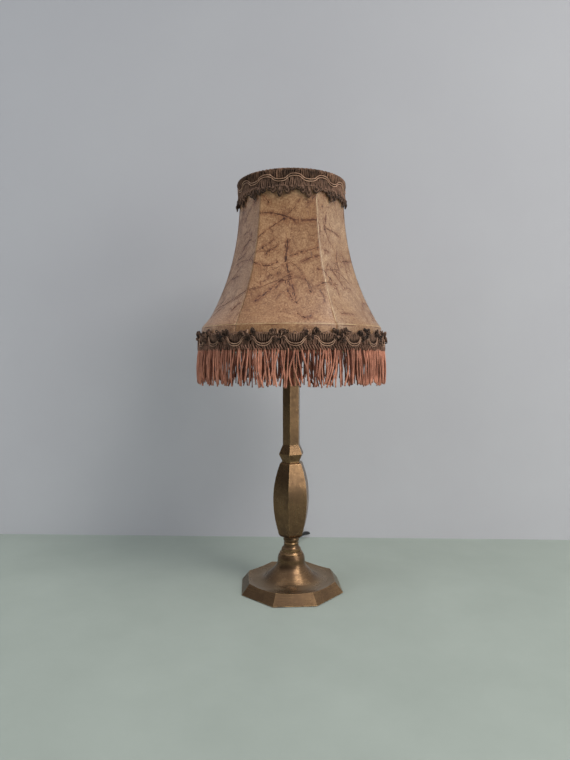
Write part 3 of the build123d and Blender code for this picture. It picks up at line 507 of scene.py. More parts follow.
def at_pixel(x, y):
    """Where the line of sight through a pixel of the photograph meets the cover, as (angle, height)."""
    along = Vector(((x - PHOTO_WIDTH / 2) / FOCAL, 1.0, (PHOTO_HEIGHT / 2 - y) / FOCAL))
    sight = turned.to_3x3() @ (Matrix.Rotation(-PITCH, 3, "X") @ along)
    near, far = 0.40, 0.62

    def miss(reach):
        spot = (camera.location + sight * reach) / MM
        turn = atan2(spot.y, spot.x) + pi / 2 - SHADE_TURN
        cover = cover_radius(turn, min(max(spot.z, BOTTOM_Z), TOP_Z))
        return hypot(spot.x, spot.y) - cover, turn, spot.z

    for _ in range(40):
        reach = (near + far) / 2
        if miss(reach)[0] > 0:
            near = reach
        else:
            far = reach
    return miss(far)[1:]


# Each vein: its width in millimetres, then its way over the cover in pixels of the photograph
CRACKS = [
    (1.1, [(260, 213), (270, 213), (278, 214), (285, 216), (292, 219), (303, 220), (317, 220)]),
    (1.5, [(280, 214.5), (285, 216), (290, 218), (295, 219.5)]),
    (0.7, [(258, 237), (264, 232), (271, 227), (279, 222), (285, 217)]),
    (0.7, [(263, 245.5), (263.5, 249.5), (268, 251.5), (273, 249), (277, 246)]),
    (1.3, [(287, 239), (287.5, 245), (287, 250), (285.5, 256), (286, 263), (288, 270), (290.5, 277),
           (293, 288), (296, 301)]),
    (0.8, [(285, 243), (286.5, 252), (287, 262), (287.5, 271), (289, 279), (290, 286)]),
    (0.8, [(290, 255.5), (296, 254), (303, 251.5), (311, 249.5), (319, 246.5)]),
    (0.9, [(252, 261), (256, 263.5), (262, 265), (268, 265.5), (273, 264), (278, 261)]),
    (2.3, [(286, 280.3), (281, 281.2), (277.5, 282.6)]),
    (1.2, [(277, 283), (272, 287.5), (267, 292), (262, 296.5), (255, 301)]),
    (0.9, [(288, 290), (290, 295), (293, 300), (297, 303)]),
    (0.8, [(318, 286), (322, 283.5), (327, 282.3), (332, 283.5), (338, 285)]),
    (1.0, [(330, 268), (334, 273), (338, 279), (342, 285), (345, 289)]),
    (0.8, [(323.5, 222), (325, 227), (329, 230), (334, 232.5), (340, 238)]),
    (0.8, [(326, 217), (325.5, 223), (324, 230)]),
    (0.6, [(257, 199), (253, 205), (249, 212), (244, 225)]),
    (0.5, [(246, 260), (241, 262), (237, 265)]),
    (0.8, [(240, 303), (236, 306), (232, 310)]),
    (0.7, [(341, 313.5), (347, 313.5), (353, 314.5)]),
    (0.7, [(297, 312), (301, 316), (305, 317.5), (312, 315)]),
    (0.8, [(315, 196), (311, 199.5), (307.5, 203)]),
    (0.6, [(291, 262), (297, 267), (302, 273), (307, 282), (311, 292)]),
    (0.6, [(264, 196), (267, 200), (268.5, 203)]),
    (0.6, [(285, 264), (279, 270), (277, 275)]),
    (0.5, [(290, 276), (299, 277), (308, 282), (313, 292)]),
    (0.5, [(288, 289), (281, 293), (276, 299)]),
    (0.6, [(319, 288), (323, 295), (325, 303)]),
    (0.6, [(318, 221), (320, 229), (319, 237), (318.5, 246)]),
    (0.5, [(300, 198), (297, 204), (292, 210), (287, 215)]),
    (0.5, [(262, 263), (266, 270), (272, 276)]),
    (0.5, [(326, 270), (333, 270.5), (341, 275), (350, 285)]),
]
vein_parts, fleck_and_shadow_parts = [], []
for number, (width, marks) in enumerate(CRACKS):
    seed = 101 + number
    wobble = random.Random(seed)
    line = []
    for spot in smooth_path([Vector((*at_pixel(x, y), 0)) for x, y in marks], 7):
        line.append((spot.x + wobble.gauss(0, 0.0016), spot.y + wobble.gauss(0, 0.16)))
    vein_parts += vein_strips(line, width * 1.05, seed)
    for twig in range(2):
        start = wobble.choice(line[1:-1])
        heading, length = wobble.uniform(0, FULL_TURN), wobble.uniform(4, 11)
        side = wander(round_cover(*start), start[1], heading, length, wobble.random(), 0.4)
        vein_parts += vein_strips(side, width * 0.5, wobble.random())

# Dark spots along the veins: the pixel, then length and width in millimetres and heading on the cover
SPOTS = [
    (281.7, 280.8, 6.2, 3.0, 0.25), (266.2, 292.7, 2.2, 1.9, 0.9), (271.3, 288.7, 3.2, 1.7, 0.8),
    (263.7, 295.1, 2.6, 1.3, 0.8), (255.8, 300.7, 1.8, 1.3, 0.9), (276.5, 287.1, 3.4, 1.3, 0.8),
    (268.9, 265.8, 3.4, 1.6, 0.1), (254.6, 262.6, 2.4, 1.3, -0.6), (276.9, 262.6, 2.2, 1.2, 0.6),
    (295.2, 254.4, 2.0, 1.6, 0.2), (301.6, 251.9, 2.6, 1.2, 0.2), (318.4, 247.7, 2.0, 1.8, 1.2),
    (304.0, 317.4, 2.8, 1.8, -0.4), (297.6, 313.9, 2.0, 1.3, -0.5), (310.4, 316.5, 2.0, 1.4, 0.8),
    (326.3, 282.4, 2.8, 1.3, 0.2), (323.5, 283.5, 2.2, 1.2, 0.6), (331.1, 284.7, 2.2, 1.5, -0.3),
    (291.2, 218.7, 3.2, 1.7, -0.4), (294.4, 219.8, 2.8, 1.5, -0.2), (282.5, 215.4, 2.6, 1.8, -0.5),
    (284.5, 219.0, 2.2, 1.6, 0.8), (296.0, 302.3, 2.0, 1.6, -0.9), (310.4, 291.5, 2.8, 2.0, -0.8),
    (262.5, 248.1, 3.0, 1.3, 1.4), (269.7, 250.1, 2.2, 1.4, 0.5), (266.5, 253.2, 2.0, 1.4, 0.9),
    (286.9, 250.9, 2.6, 1.5, 1.3), (287.3, 244.9, 2.8, 1.1, 1.5), (287.7, 290.7, 3.0, 1.4, 1.4),
    (324.7, 229.7, 2.0, 1.7, 0.9), (325.1, 220.2, 2.4, 1.2, 1.4), (286.0, 257.3, 2.4, 1.4, 1.3),
    (285.3, 261.6, 1.8, 1.5, 0.4), (287.6, 267.4, 2.2, 1.4, 1.2), (289.4, 272.3, 2.0, 1.6, 0.5),
    (290.6, 276.8, 3.0, 1.8, 0.3), (288.2, 281.4, 1.8, 1.4, 1.5), (292.3, 285.2, 2.4, 1.3, 1.2),
    (292.8, 293.6, 2.6, 1.2, 1.4), (322.0, 206.2, 2.0, 1.6, 0.5), (268.5, 202.0, 2.4, 1.4, -0.9),
    (343.0, 313.6, 2.2, 1.2, 0.3), (234.0, 308.5, 4.4, 1.3, 0.8),
]
SPOT_SHAPE = (0.35, 0.9, 1.0, 0.8, 0.3)
for x, y, length, width, heading in SPOTS:
    turn, z = at_pixel(x, y)
    wobble = random.Random(x)
    line = []
    for step in range(5):
        off = length * (step / 4 - 0.5)
        height = z + off * sin(heading) + wobble.gauss(0, 0.12)
        line.append((turn + off * cos(heading) / bell(z)[0], height))
    vein_parts.append(ribbon(line, [width * share for share in SPOT_SHAPE], SPOT_LIFT))
    stains.extend((on_cover(*spot), 0.9) for spot in line)

# Veins at random, few on the front panel, where the photograph's own are drawn above
FRONT_VEINS, OTHER_VEINS = 3, 13
heads = random.Random(7)
for panel in range(PANELS):
    middle = panel * 2 * HALF
    for branch in range(FRONT_VEINS if panel == 0 else OTHER_VEINS):
        z = heads.uniform(290, 405)
        x = heads.uniform(-0.8, 0.8) * HALF * bell(z)[0] * 0.9
        heading = heads.uniform(0, FULL_TURN)
        length = heads.uniform(14, 42)
        line = wander(x + round_cover(middle, z), z, heading, length, heads.random())
        vein_parts += vein_strips(line, heads.uniform(0.45, 0.95), heads.random())
        if len(line) > 8:
            fork = line[len(line) // 2]
            heading += heads.choice((-1, 1)) * heads.uniform(0.5, 1.1)
            side = wander(round_cover(*fork), fork[1], heading, length * 0.6, heads.random())
            vein_parts += vein_strips(side, heads.uniform(0.3, 0.6), heads.random())

# Short flecks and hairs in loose groups that share a heading
GROUPS = 26
FLECK_LOW, FLECK_HIGH = 281, 411
for panel in range(PANELS):
    for group in range(GROUPS):
        z = heads.uniform(284, 408)
        x = heads.uniform(-0.92, 0.92) * HALF * bell(z)[0]
        common = heads.choice((pi / 2, -0.9, 0.7, 0.1)) + heads.gauss(0, 0.25)
        for fleck in range(heads.randint(4, 9)):
            at_x = x + heads.gauss(0, 3.4)
            at_z = min(max(z + heads.gauss(0, 3.4), FLECK_LOW), FLECK_HIGH)
            if abs(at_x) > 0.97 * HALF * bell(at_z)[0]:
                continue
            heading = common + heads.gauss(0, 0.35)
            size = heads.choice((0.7, 1.1, 1.6, 2.6, 4.2))
            turn = panel * 2 * HALF + at_x / bell(at_z)[0]
            line = []
            for share in (-0.5, -0.2, 0.2, 0.5):
                off = size * share * cos(heading) / bell(at_z)[0]
                line.append((turn + off, at_z + size * share * sin(heading)))
            wide = heads.uniform(0.22, 0.5) if size > 1.5 else heads.uniform(0.4, 0.75)
            fleck_and_shadow_parts.append(ribbon(line, [0.3 * wide, wide, 0.9 * wide, 0.25 * wide], VEIN_LIFT))
            stains.append((on_cover(turn, at_z), 0.4))


def cover_finish(name, tint, seed):
    f = Finish(name, rough=0.42, Subsurface_Weight=0.0, Coat_Weight=0.12, Coat_Roughness=0.35)
    shifted = f.mapped(shift=(seed * 1.7, seed * 0.9, seed * 2.3))
    cloud = f.span(f.noise(21, 5, 0.6, 0.4, shifted), 0.34, 0.66)
    blotch = f.span(f.noise(62, 6, 0.68, 1.2, shifted), 0.44, 0.68)
    grain = f.noise(640, 4, 0.78, 0, shifted)
    warp = f.noise(45, 5, 0.5, source=shifted, output="Color")
    push = {0: warp, 1: (0.035, 0.035, 0.035), 2: shifted}
    bent = f.add("VectorMath", push, operation="MULTIPLY_ADD").outputs[0]
    light = tinted(rgb(190, 156, 121), tint)
    deep = tinted(rgb(160, 122, 86), tint)
    brown = tinted(rgb(116, 76, 50), tint)
    f.begin(cloud, deep, light)
    f.layer(f.times(blotch, 0.5), brown)
    crackle_place = f.mapped((1, 1, 0.7), (0.5, 1.3, 0.2), source=shifted)
    crackle = f.span(f.cells(360, crackle_place), 0.0, 0.16, 1, 0)
    f.layer(f.span(grain, 0.48, 0.68, 0, 0.78), brown)
    f.layer(f.times(f.times(crackle, blotch), 0.6), brown)
    f.layer(f.span(grain, 0.47, 0.27, 0, 0.6), tinted(rgb(216, 186, 150), tint))
    dark = None
    for scale, width, gate_scale, low, high, depth, turn in (
        (23, 0.030, 30, 0.50, 0.60, 0.85, 0.4),
        (46, 0.050, 38, 0.52, 0.64, 0.6, 1.7),
        (105, 0.085, 24, 0.50, 0.66, 0.5, 2.9),
    ):
        line_place = f.mapped((1, 1, 0.8), (turn, turn * 0.6, turn), source=bent)
        line = f.span(f.cells(scale, line_place), 0.0, width, 1, 0)
        gate = f.span(f.noise(gate_scale, 4, 0.6, 0, f.mapped(shift=(turn * 3, 1, seed))), low, high)
        broken = f.span(f.noise(330, 3, 0.7), 0.36, 0.56)
        vein = f.times(f.times(f.times(line, gate), broken), depth)
        dark = vein if dark is None else f.most(dark, vein)
    for turn in ((0.9, 0.2, 0.7), (2.1, 0.5, 1.9), (0.2, 1.2, 2.8)):
        hairs = f.noise(34, 5, 0.8, 0.8, f.mapped((1, 16, 1), turn, source=shifted))
        hair = f.span(hairs, 0.63, 0.69, 0, 0.6)
        dark = f.most(dark, hair)
    stain = f.add("Attribute", attribute_name="stain").outputs["Fac"]
    ragged = f.span(f.noise(240, 5, 0.75, 1.5, shifted), 0.30, 0.66)
    soft = f.times(f.times(stain, ragged), 0.72)
    f.layer(soft, tinted(rgb(142, 86, 52), tint))
    thread_place = f.mapped((1, 1, 0.8), (0.7, 0.3, 1.1), source=bent)
    threads = f.span(f.cells(150, thread_place), 0.0, 0.15, 1, 0)
    tangle = f.times(f.times(threads, stain), 1.1)
    dark = f.most(dark, tangle)
    f.layer(f.combine("MINIMUM", dark, 1.0), rgb(98, 54, 34))
    f.colour(f.base)
    f.rough(f.span(grain, 0.3, 0.7, 0.36, 0.5))
    f.bump(f.plus(f.times(grain, 0.35), f.times(dark, -0.5)), 0.00012)
    return f.material


# Each panel's tint: partly the piece's own tone, partly painted light that brightens or greys a panel for the
# light falling on it.
PANEL_TONES_AND_LIGHT = [
    (0.94, 0.85, 0.775, 1), (0.92, 0.92, 0.94, 1), (0.93, 0.88, 0.86, 1),
    (0.95, 0.89, 0.86, 1), (0.90, 0.87, 0.88, 1), (1.0, 0.93, 0.98, 1)]
COLUMNS, ROWS, SKIRT_ROWS = 56, 128, 10
SEAM = 0.0008
STAIN_REACH = 5
stain_places = KDTree(len(stains))
for number, (spot, _) in enumerate(stains):
    stain_places.insert(spot, number)
stain_places.balance()


def stain_at(point):
    """How deeply the skin round the veins is stained at a point on the cover, 0 to 1."""
    depth = 0.0
    for _, number, distance in stain_places.find_range(point, STAIN_REACH * MM):
        reach = (0.7 + 1.7 * stains[number][1]) * MM
        depth = max(depth, stains[number][1] * exp(-(distance / reach) ** 2))
    return depth


levels = [BOTTOM_Z + (GALLERY_Z - BOTTOM_Z) * row / SKIRT_ROWS for row in range(SKIRT_ROWS)]
levels += [GALLERY_Z + (TOP_Z - GALLERY_Z) * (row / ROWS) ** 1.15 for row in range(ROWS + 1)]
for index in range(PANELS):
    material = cover_finish(f"parchment_{index + 1}", PANEL_TONES_AND_LIGHT[index], index + 1.0)
    points, faces, uvs = [], [], []
    for inset in (0.0, -COVER_THICK):
        for z in levels:
            for column in range(COLUMNS + 1):
                across = -HALF + 2 * HALF * column / COLUMNS
                across *= 1 - SEAM
                points.append(on_cover(across + index * 2 * HALF, z, inset))
                uvs.append((column / COLUMNS, (z - BOTTOM_Z) / (TOP_Z - BOTTOM_Z)))
    wide, deep = COLUMNS + 1, len(levels)
    skin = wide * deep
    for row in range(deep - 1):
        for column in range(COLUMNS):
            a = row * wide + column
            faces.append((a, a + 1, a + 1 + wide, a + wide))
            faces.append((skin + a + wide, skin + a + 1 + wide, skin + a + 1, skin + a))
    for column in range(COLUMNS):
        for a, b in ((column, column + 1), ((deep - 1) * wide + column + 1, (deep - 1) * wide + column)):
            faces.append((a, skin + a, skin + b, b))
    for row in range(deep - 1):
        a, b = row * wide, (row + 1) * wide
        faces.append((a, b, skin + b, skin + a))
        a, b = a + COLUMNS, b + COLUMNS
        faces.append((a, skin + a, skin + b, b))
    panel = mesh_piece(f"cover_{index + 1}", points, faces, material, "shade", uvs)
    stain = panel.data.attributes.new("stain", "FLOAT", "POINT")
    stain.data.foreach_set("value", [stain_at(point) for point in points[:skin]] + [0.0] * skin)
    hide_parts(f"shade_panel_{index + 1}")


# Creases: pale strips over each rib and over the gallery ring, painted highlights where the parchment ridges
# over the wire
def strip_finish(name, dark, light, patch, limits, grain, **sockets):
    f = Finish(name, **sockets)
    f.colour(f.mix(f.span(f.noise(*patch), *limits), dark, light))
    f.bump(f.noise(grain, 3, 0.7), 0.00005)
    return f.material


def strip_piece(name, strips, material):
    """One piece of the shade's surface made of many strips."""
    points, faces = [], []
    for strip_points, strip_faces in strips:
        base = len(points)
        points += strip_points
        faces += [tuple(corner + base for corner in face) for face in strip_faces]
    return mesh_piece(name, points, faces, material, "shade")


CREASE_TOP = 415
CREASE_STEPS, RING_STEPS = 70, 40
strips = []
for index in range(PANELS):
    angle = (2 * index + 1) * HALF
    # The highlight over the left rib is painted weaker.
    highlight_strength = 0.3 if index == PANELS - 1 else 1.0
    line, widths = [], []
    for step in range(CREASE_STEPS + 1):
        line.append((angle, GALLERY_Z + 2 + (CREASE_TOP - GALLERY_Z) * step / CREASE_STEPS))
        widths.append(highlight_strength * (0.42 + 0.36 * sin(step * 0.7 + index) ** 2))
    strips.append(ribbon(line, widths, VEIN_LIFT))
    line, widths, ring_shadow, ring_shadow_widths = [], [], [], []
    for step in range(RING_STEPS + 1):
        turn = angle + 2 * HALF * (step / RING_STEPS)
        line.append((turn, GALLERY_Z + 0.4))
        widths.append(0.6 + 0.5 * sin(step * 0.9 + index) ** 2)
        # A broken dark line just under the gallery ring, laid with the flecks: painted shadow.
        ring_shadow.append((turn, GALLERY_Z + 0.4 - 1.1))
        ring_shadow_widths.append(max(0.05, 0.7 * sin(step * 0.31 + 1.9 * index)))
    strips.append(ribbon(line, widths, VEIN_LIFT))
    fleck_and_shadow_parts.append(ribbon(ring_shadow, ring_shadow_widths, VEIN_LIFT))
crease_highlight_finish = strip_finish(
    "crease", rgb(166, 130, 92), rgb(214, 184, 142), (130, 4, 0.6), (0.38, 0.6), 700,
    rough=0.4, Coat_Weight=0.15)
crease = strip_piece("cover_crease_highlights", strips, crease_highlight_finish)

# The darkest parts of the veins, the flecks and the painted shadow line under the gallery ring, as fine
# tapering strips on the cover
VEIN_PATCH, VEIN_LIMITS = (90, 4), (0.35, 0.65)
vein_dark = strip_finish("skin_veins", rgb(58, 31, 22), rgb(98, 58, 40), VEIN_PATCH, VEIN_LIMITS, 800)
fleck_and_shadow_dark = strip_finish("skin_flecks_and_shadow", rgb(96, 60, 42), rgb(132, 90, 64), VEIN_PATCH, VEIN_LIMITS, 800)
veins = strip_piece("skin_veins", vein_parts, vein_dark)
flecks_and_shadow = strip_piece("skin_flecks_and_shadow", fleck_and_shadow_parts, fleck_and_shadow_dark)


# Fringe: strands of twisted yarn hanging from the braid's hem
def worked(f, groove, depth, shadow, fibre, share, light, weight, distance):
    """Darkens and sinks the grooves between yarns, and raises pale fibres on them."""
    f.layer(f.times(groove, depth), shadow)
    f.layer(f.span(fibre, 0.5, 0.8, 0, share), light)
    f.colour(f.base)
    f.bump(f.plus(f.times(groove, -1.0), f.times(fibre, weight)), distance)
    return f.material


def yarn_finish(name, light, deep, shadow, rough=0.85, pitch=1.0):
    f = Finish(name, rough=rough, Sheen_Weight=0.08, Sheen_Roughness=0.5, Specular_IOR_Level=0.25)
    tone = f.span(f.noise(180, 3), 0.34, 0.66)
    patch = f.span(f.noise(46, 4), 0.38, 0.62)
    fibre = f.noise(2600, 3, 0.7)
    f.begin(tone, deep, light)
    f.layer(f.times(patch, 0.45), shadow)
    groove = f.span(f.slanted(2.0, pitch), 0.32, 0.5)
    return worked(f, groove, 0.6, shadow, fibre, 0.25, light, 0.4, 0.00015)


pink = yarn_finish("fringe_yarn", rgb(232, 162, 134), rgb(196, 129, 103), rgb(98, 56, 45))
# A darker copy of the fringe yarn for the strands behind: painted shade inside the fringe.
pink_shaded = yarn_finish("fringe_yarn_shaded", rgb(140, 82, 62), rgb(100, 56, 42), rgb(50, 26, 21))
brown = yarn_finish("braid_yarn", rgb(154, 116, 92), rgb(80, 59, 47), rgb(20, 14, 11))
piping = yarn_finish("piping_cord", rgb(226, 184, 154), rgb(178, 136, 110), rgb(88, 62, 48), 0.7, 0.8)
tuft_yarn = yarn_finish("tuft_yarn", rgb(112, 82, 65), rgb(46, 33, 26), rgb(10, 7, 6))
fan_yarn = yarn_finish("fan_yarn", rgb(174, 135, 112), rgb(113, 86, 70), rgb(36, 26, 21))
hem_yarn = yarn_finish("hem_yarn", rgb(164, 122, 101), rgb(108, 80, 64), rgb(34, 24, 19))

FRINGE_TOP, FRINGE_LOW = 255.4, 219.4
FRINGE_STRANDS, STRANDS_BEHIND = 345, 200


def hung(angle, proud, z):
    """A point at a height below the cover, straight down from a lift off its edge."""
    return Vector((*on_cover(angle, BOTTOM_Z, proud).xy, z * MM))


dice = random.Random(5)
front, back = [], []
for index in range(FRINGE_STRANDS):
    angle = 2 * pi * (index + dice.uniform(-0.3, 0.3)) / FRINGE_STRANDS
    clump = 0.5 * sin(angle * 23 + 1.3) + 0.5 * sin(angle * 41 + 0.4)
    lean = 0.022 * sin(angle * 31 + 2) + 0.026 * sin(angle * 13 + 5.1) + dice.gauss(0, 0.028)
    curl = dice.gauss(0, 0.008)
    bend = dice.uniform(0.9, 2.2)
    low = FRINGE_LOW - 0.6 + abs(dice.gauss(0, 1.7)) + 1.2 * (1 - clump)
    depth = dice.uniform(0.3, 2.6)
    controls = []
    for step in range(7):
        share = step / 6
        z = FRINGE_TOP + (low - FRINGE_TOP) * share
        swing = lean * share ** bend + curl * sin(share * 5 + depth)
        proud = depth * (0.35 + 0.65 * sin(share * 2.6)) + 0.5 + 0.5 * share
        controls.append(hung(angle + swing, proud, z))
    (front if dice.random() < 0.8 else back).append(smooth_path(controls, 3))
for index in range(STRANDS_BEHIND):
    angle = 2 * pi * (index + dice.uniform(-0.4, 0.4)) / STRANDS_BEHIND
    lean = dice.gauss(0, 0.02)
    low = FRINGE_LOW + 2 + abs(dice.gauss(0, 3))
    controls = []
    for step in range(6):
        z = FRINGE_TOP + (low - FRINGE_TOP) * step / 5
        controls.append(hung(angle + lean * step / 5, 0.3 + 0.2 * step / 5, z))
    back.append(smooth_path(controls, 3))
fringe_front = yarns("fringe_strands", front, 0.71, pink, 7, 2600, 0.14)
fringe_back = yarns("fringe_strands_behind", back, 0.62, pink_shaded, 6, 2600, 0.12)
for piece in (fringe_front, fringe_back):
    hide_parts("fringe")


# Bottom braid: a woven band, U-shaped double piping, looped fans and dark tufts, above a stitched hem
BAND_BACK = 0.12


def band(name, material, low, high, proud, bumps, depth, steps, rows):
    """A closed band round the cover, its face rippled by stitches."""
    points, faces, uvs = [], [], []
    for outer in (True, False):
        for row in range(rows + 1):
            share = row / rows
            z = low + (high - low) * share
            held = min(max(z, BOTTOM_Z), TOP_Z)
            swell = sin(pi * min(max(share, 0.04), 0.96)) ** 0.4
            wave = 0.25 * sin(share * pi * rows / 2)
            for step in range(steps):
                angle = 2 * pi * step / steps
                ripple = depth * (0.5 + 0.5 * cos(bumps * angle + share * 2.2)) * swell
                lift = proud + ripple + wave if outer else BAND_BACK
                edge = 0.35 * cos(bumps * angle) if row in (0, rows) else 0
                points.append(on_cover(angle, held, lift) + Vector((0, 0, (z + edge - held) * MM)))
                uvs.append((step / steps * 200, share * 8))
    ring = steps * (rows + 1)
    for row in range(rows):
        for step in range(steps):
            a, b = row * steps + step, row * steps + (step + 1) % steps
            faces.append((a, b, b + steps, a + steps))
            faces.append((ring + a + steps, ring + b + steps, ring + b, ring + a))
    for step in range(steps):
        other = (step + 1) % steps
        faces.append((step, ring + step, ring + other, other))
        top = rows * steps
        faces.append((top + step, top + other, ring + top + other, ring + top + step))
    return mesh_piece(name, points, faces, material, "shade", uvs)


def braid_finish(name, light, deep, shadow, stitches, rows):
    f = Finish(name, rough=0.9, Sheen_Weight=0.05, Specular_IOR_Level=0.2)
    ridge = f.span(f.slanted(stitches, rows), 0.1, 0.5)
    patch = f.span(f.noise(120, 4), 0.36, 0.64)
    fibre = f.noise(1800, 3, 0.7)
    f.begin(patch, deep, light)
    return worked(f, ridge, 0.75, shadow, fibre, 0.3, light, 0.35, 0.0003)


hem_finish = braid_finish("braid_hem", rgb(112, 80, 62), rgb(74, 52, 41), rgb(28, 20, 16), 1.6, 0.45)
# The web shows only in the gaps between yarns; its dark colour is partly its own yarn, partly painted shade
# in those gaps.
shaded_web_finish = braid_finish("braid_web_shaded", rgb(78, 55, 43), rgb(44, 31, 25), rgb(16, 11, 9), 1.3, 0.2)

WAVES = 21
TROUGH = radians(5.66)
period = 2 * pi / WAVES
WEB_LOW, WEB_HIGH = 258.4, 268.5
HEM_LOW, HEM_HIGH = 253.9, 258.6
HEM_STITCHES = 240
STITCH_LOW, STITCH_RISE = 254.2, 4.6
PIPING_Z, PIPING_SWELL = 261.7, 3.8
FAN_LOOPS, CREST_THREADS, CREST_TAILS, TUFT_LOOPS = 9, 9, 2, 39
BRAID_HIGHEST = 274.8
dice = random.Random(17)
web = band("bottom_braid_web", shaded_web_finish, WEB_LOW, WEB_HIGH, 0.9, 88, 0.25, 440, 5)
hem = band("bottom_braid_hem", hem_finish, HEM_LOW, HEM_HIGH, 1.3, 176, 0.4, 880, 6)

stitches = []
for index in range(HEM_STITCHES):
    angle = 2 * pi * (index + dice.uniform(-0.2, 0.2)) / HEM_STITCHES
    tilt = 0.022 + dice.gauss(0, 0.004)
    controls = []
    for share in (0, 0.33, 0.67, 1):
        z = STITCH_LOW + STITCH_RISE * share + dice.uniform(-0.3, 0.3)
        proud = 1.3 + 0.9 * sin(pi * (0.15 + 0.7 * share))
        controls.append(on_cover(angle - tilt * (share - 0.5), z, proud))
    stitches.append(smooth_path(controls, 2))
cords, fans, tufts, tails, threads = [], [], [], [], []


def wave_shape(phase):
    """A wave with flat crests and troughs and steep flanks."""
    value = cos(phase)
    return value / (0.42 + 0.58 * abs(value))


def laid(steps, *places):
    """A smooth line through places on the cover, each an angle, a height and a lift."""
    return smooth_path([on_cover(*place) for place in places], steps)


def yarn_loop(angle, foot_z, tip, shoulder, foot, wide, lifts, steps):
    """A loop of yarn on the cover; tip and shoulder are (turn, height), foot and wide are half widths."""
    foot_lift, side_lift, tip_lift = lifts
    turn, z = shoulder
    return laid(
        steps, (angle - foot, foot_z, foot_lift), (angle + turn - wide, z, side_lift),
        (angle + tip[0], tip[1], tip_lift), (angle + turn + wide, z, side_lift),
        (angle + foot, foot_z, foot_lift))


# The third, dark cord just under the piping is a painted shadow line, partly also the braid's own dark gap.
for wave in range(WAVES):
    for lift, rise, kind in ((2.7, -0.1, cords), (2.8, 1.9, cords), (1.9, -1.4, tufts)):
        line = []
        for step in range(-12, 13):
            angle = TROUGH + period * (wave + 0.42 * step / 12)
            swell = wave_shape(WAVES * (angle - TROUGH) + pi)
            tuck = max(0, abs(step) - 9) * 0.5
            line.append(on_cover(angle, PIPING_Z + rise + PIPING_SWELL * swell, lift - tuck))
        kind.append(line)
for wave in range(WAVES):
    middle = wave * period + TROUGH
    for loop in range(FAN_LOOPS):
        share = -0.5 + (loop + 0.5) / FAN_LOOPS
        angle = middle + 0.56 * period * share
        spread = 0.22 * period * share
        base_z = 261.8 + 5.4 * abs(2 * share) ** 2.2
        top_z = base_z + 8.4 - 3.8 * abs(2 * share) + dice.uniform(-0.6, 0.6)
        width = 0.035 * period
        fans.append(yarn_loop(
            angle, base_z, (spread, top_z), (spread, top_z - 1.0), width, width * 1.5, (1.5, 2.4, 2.2), 3))
    crest = middle + period / 2
    for thread in range(CREST_THREADS):
        turn = crest + period * (0.052 * (thread - 4) + dice.gauss(0, 0.008))
        threads.append(laid(
            3, (turn, 266.5, 1.5), (turn + dice.gauss(0, 0.003), 262.6, 2.1),
            (turn + dice.gauss(0, 0.004), 258.9, 1.7)))
    for tail in range(CREST_TAILS):
        turn = crest + period * dice.uniform(-0.1, 0.1)
        tails.append(laid(
            4, (turn, 272.5, 2.2), (turn + dice.gauss(0, 0.006), 268.6, 3.5),
            (turn + dice.gauss(0, 0.01), dice.uniform(264.0, 266.5), 3.2)))
    for loop in range(TUFT_LOOPS):
        centre, low, high = ((-0.21, 265.6, 270.2), (0.15, 268.0, 270.8), (-0.03, 261.6, 266.0))[loop % 3]
        turn = crest + period * (centre + dice.gauss(0, 0.05))
        z = dice.uniform(low, high)
        heading = pi / 2 + dice.gauss(0, 0.75)
        size = dice.uniform(2.4, 4.6)
        width = dice.uniform(1.0, 1.9)
        out = dice.uniform(1.8, 4.6)
        radius = bell(z)[0]
        along = (cos(heading), sin(heading))
        across = (-along[1], along[0])
        controls = []
        shape = ((0, -0.25, 1.2), (0.55, -1, out), (1.0, 0, out + 0.3), (0.55, 1, out), (0, 0.25, 1.2))
        for a, b, proud in shape:
            x = along[0] * size * a + across[0] * width * b * 0.8
            y = along[1] * size * a + across[1] * width * b * 0.8
            controls.append(on_cover(turn + x / radius, min(z + y, BRAID_HIGHEST), proud))
        (tufts if loop % 4 else fans).append(smooth_path(controls, 3))
hem_stitches = yarns("bottom_braid_stitches", stitches + threads, 0.66, hem_yarn)
bottom_piping = yarns("bottom_braid_piping", cords + tails, 0.42, piping, 7, ply=0.08, scatter=0.0)
bottom_fans = yarns("bottom_braid_fans", fans, 0.46, fan_yarn)
bottom_tufts = yarns("bottom_braid_tufts", tufts, 0.58, tuft_yarn, ply=0.14, scatter=0.4)
for piece in (web, hem, hem_stitches, bottom_piping, bottom_fans, bottom_tufts):
    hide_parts("bottom_braid")

# Top braid: radial stitches over the ring, a waving double piping, fans of loops and hanging clusters
TOP_WAVES = 12
TOP_CREST = radians(7.1)
top_period = 2 * pi / TOP_WAVES
TOP_LOW, TOP_HIGH = 412.5, 428.3
TOP_PIPING_Z, TOP_SWELL = 420.9, 2.4
TOP_STITCHES, TOP_FANS = 190, 132
STITCH_HIGH = 428
WAVE_STEPS = 16
EDGE_STEPS = 360
EDGE_Z = 427.4
dice = random.Random(29)
top_web = band("top_braid_web", shaded_web_finish, TOP_LOW, TOP_HIGH, 0.7, 96, 0.25, 480, 9)


def top_wave(angle):
    """Height of the upper piping."""
    return TOP_PIPING_Z + TOP_SWELL * wave_shape(TOP_WAVES * (angle - TOP_CREST))


def hanging_loop(angle, high, size, sway, width, out):
    """A loop of yarn hanging from the braid: width and out in millimetres, sway in radians."""
    width /= WAIST
    tip, shoulder = (sway, high - size), (sway * 0.6, high - size * 0.6)
    return yarn_loop(angle, high, tip, shoulder, width * 0.4, width, (1.2, out, out - 0.3), 4)


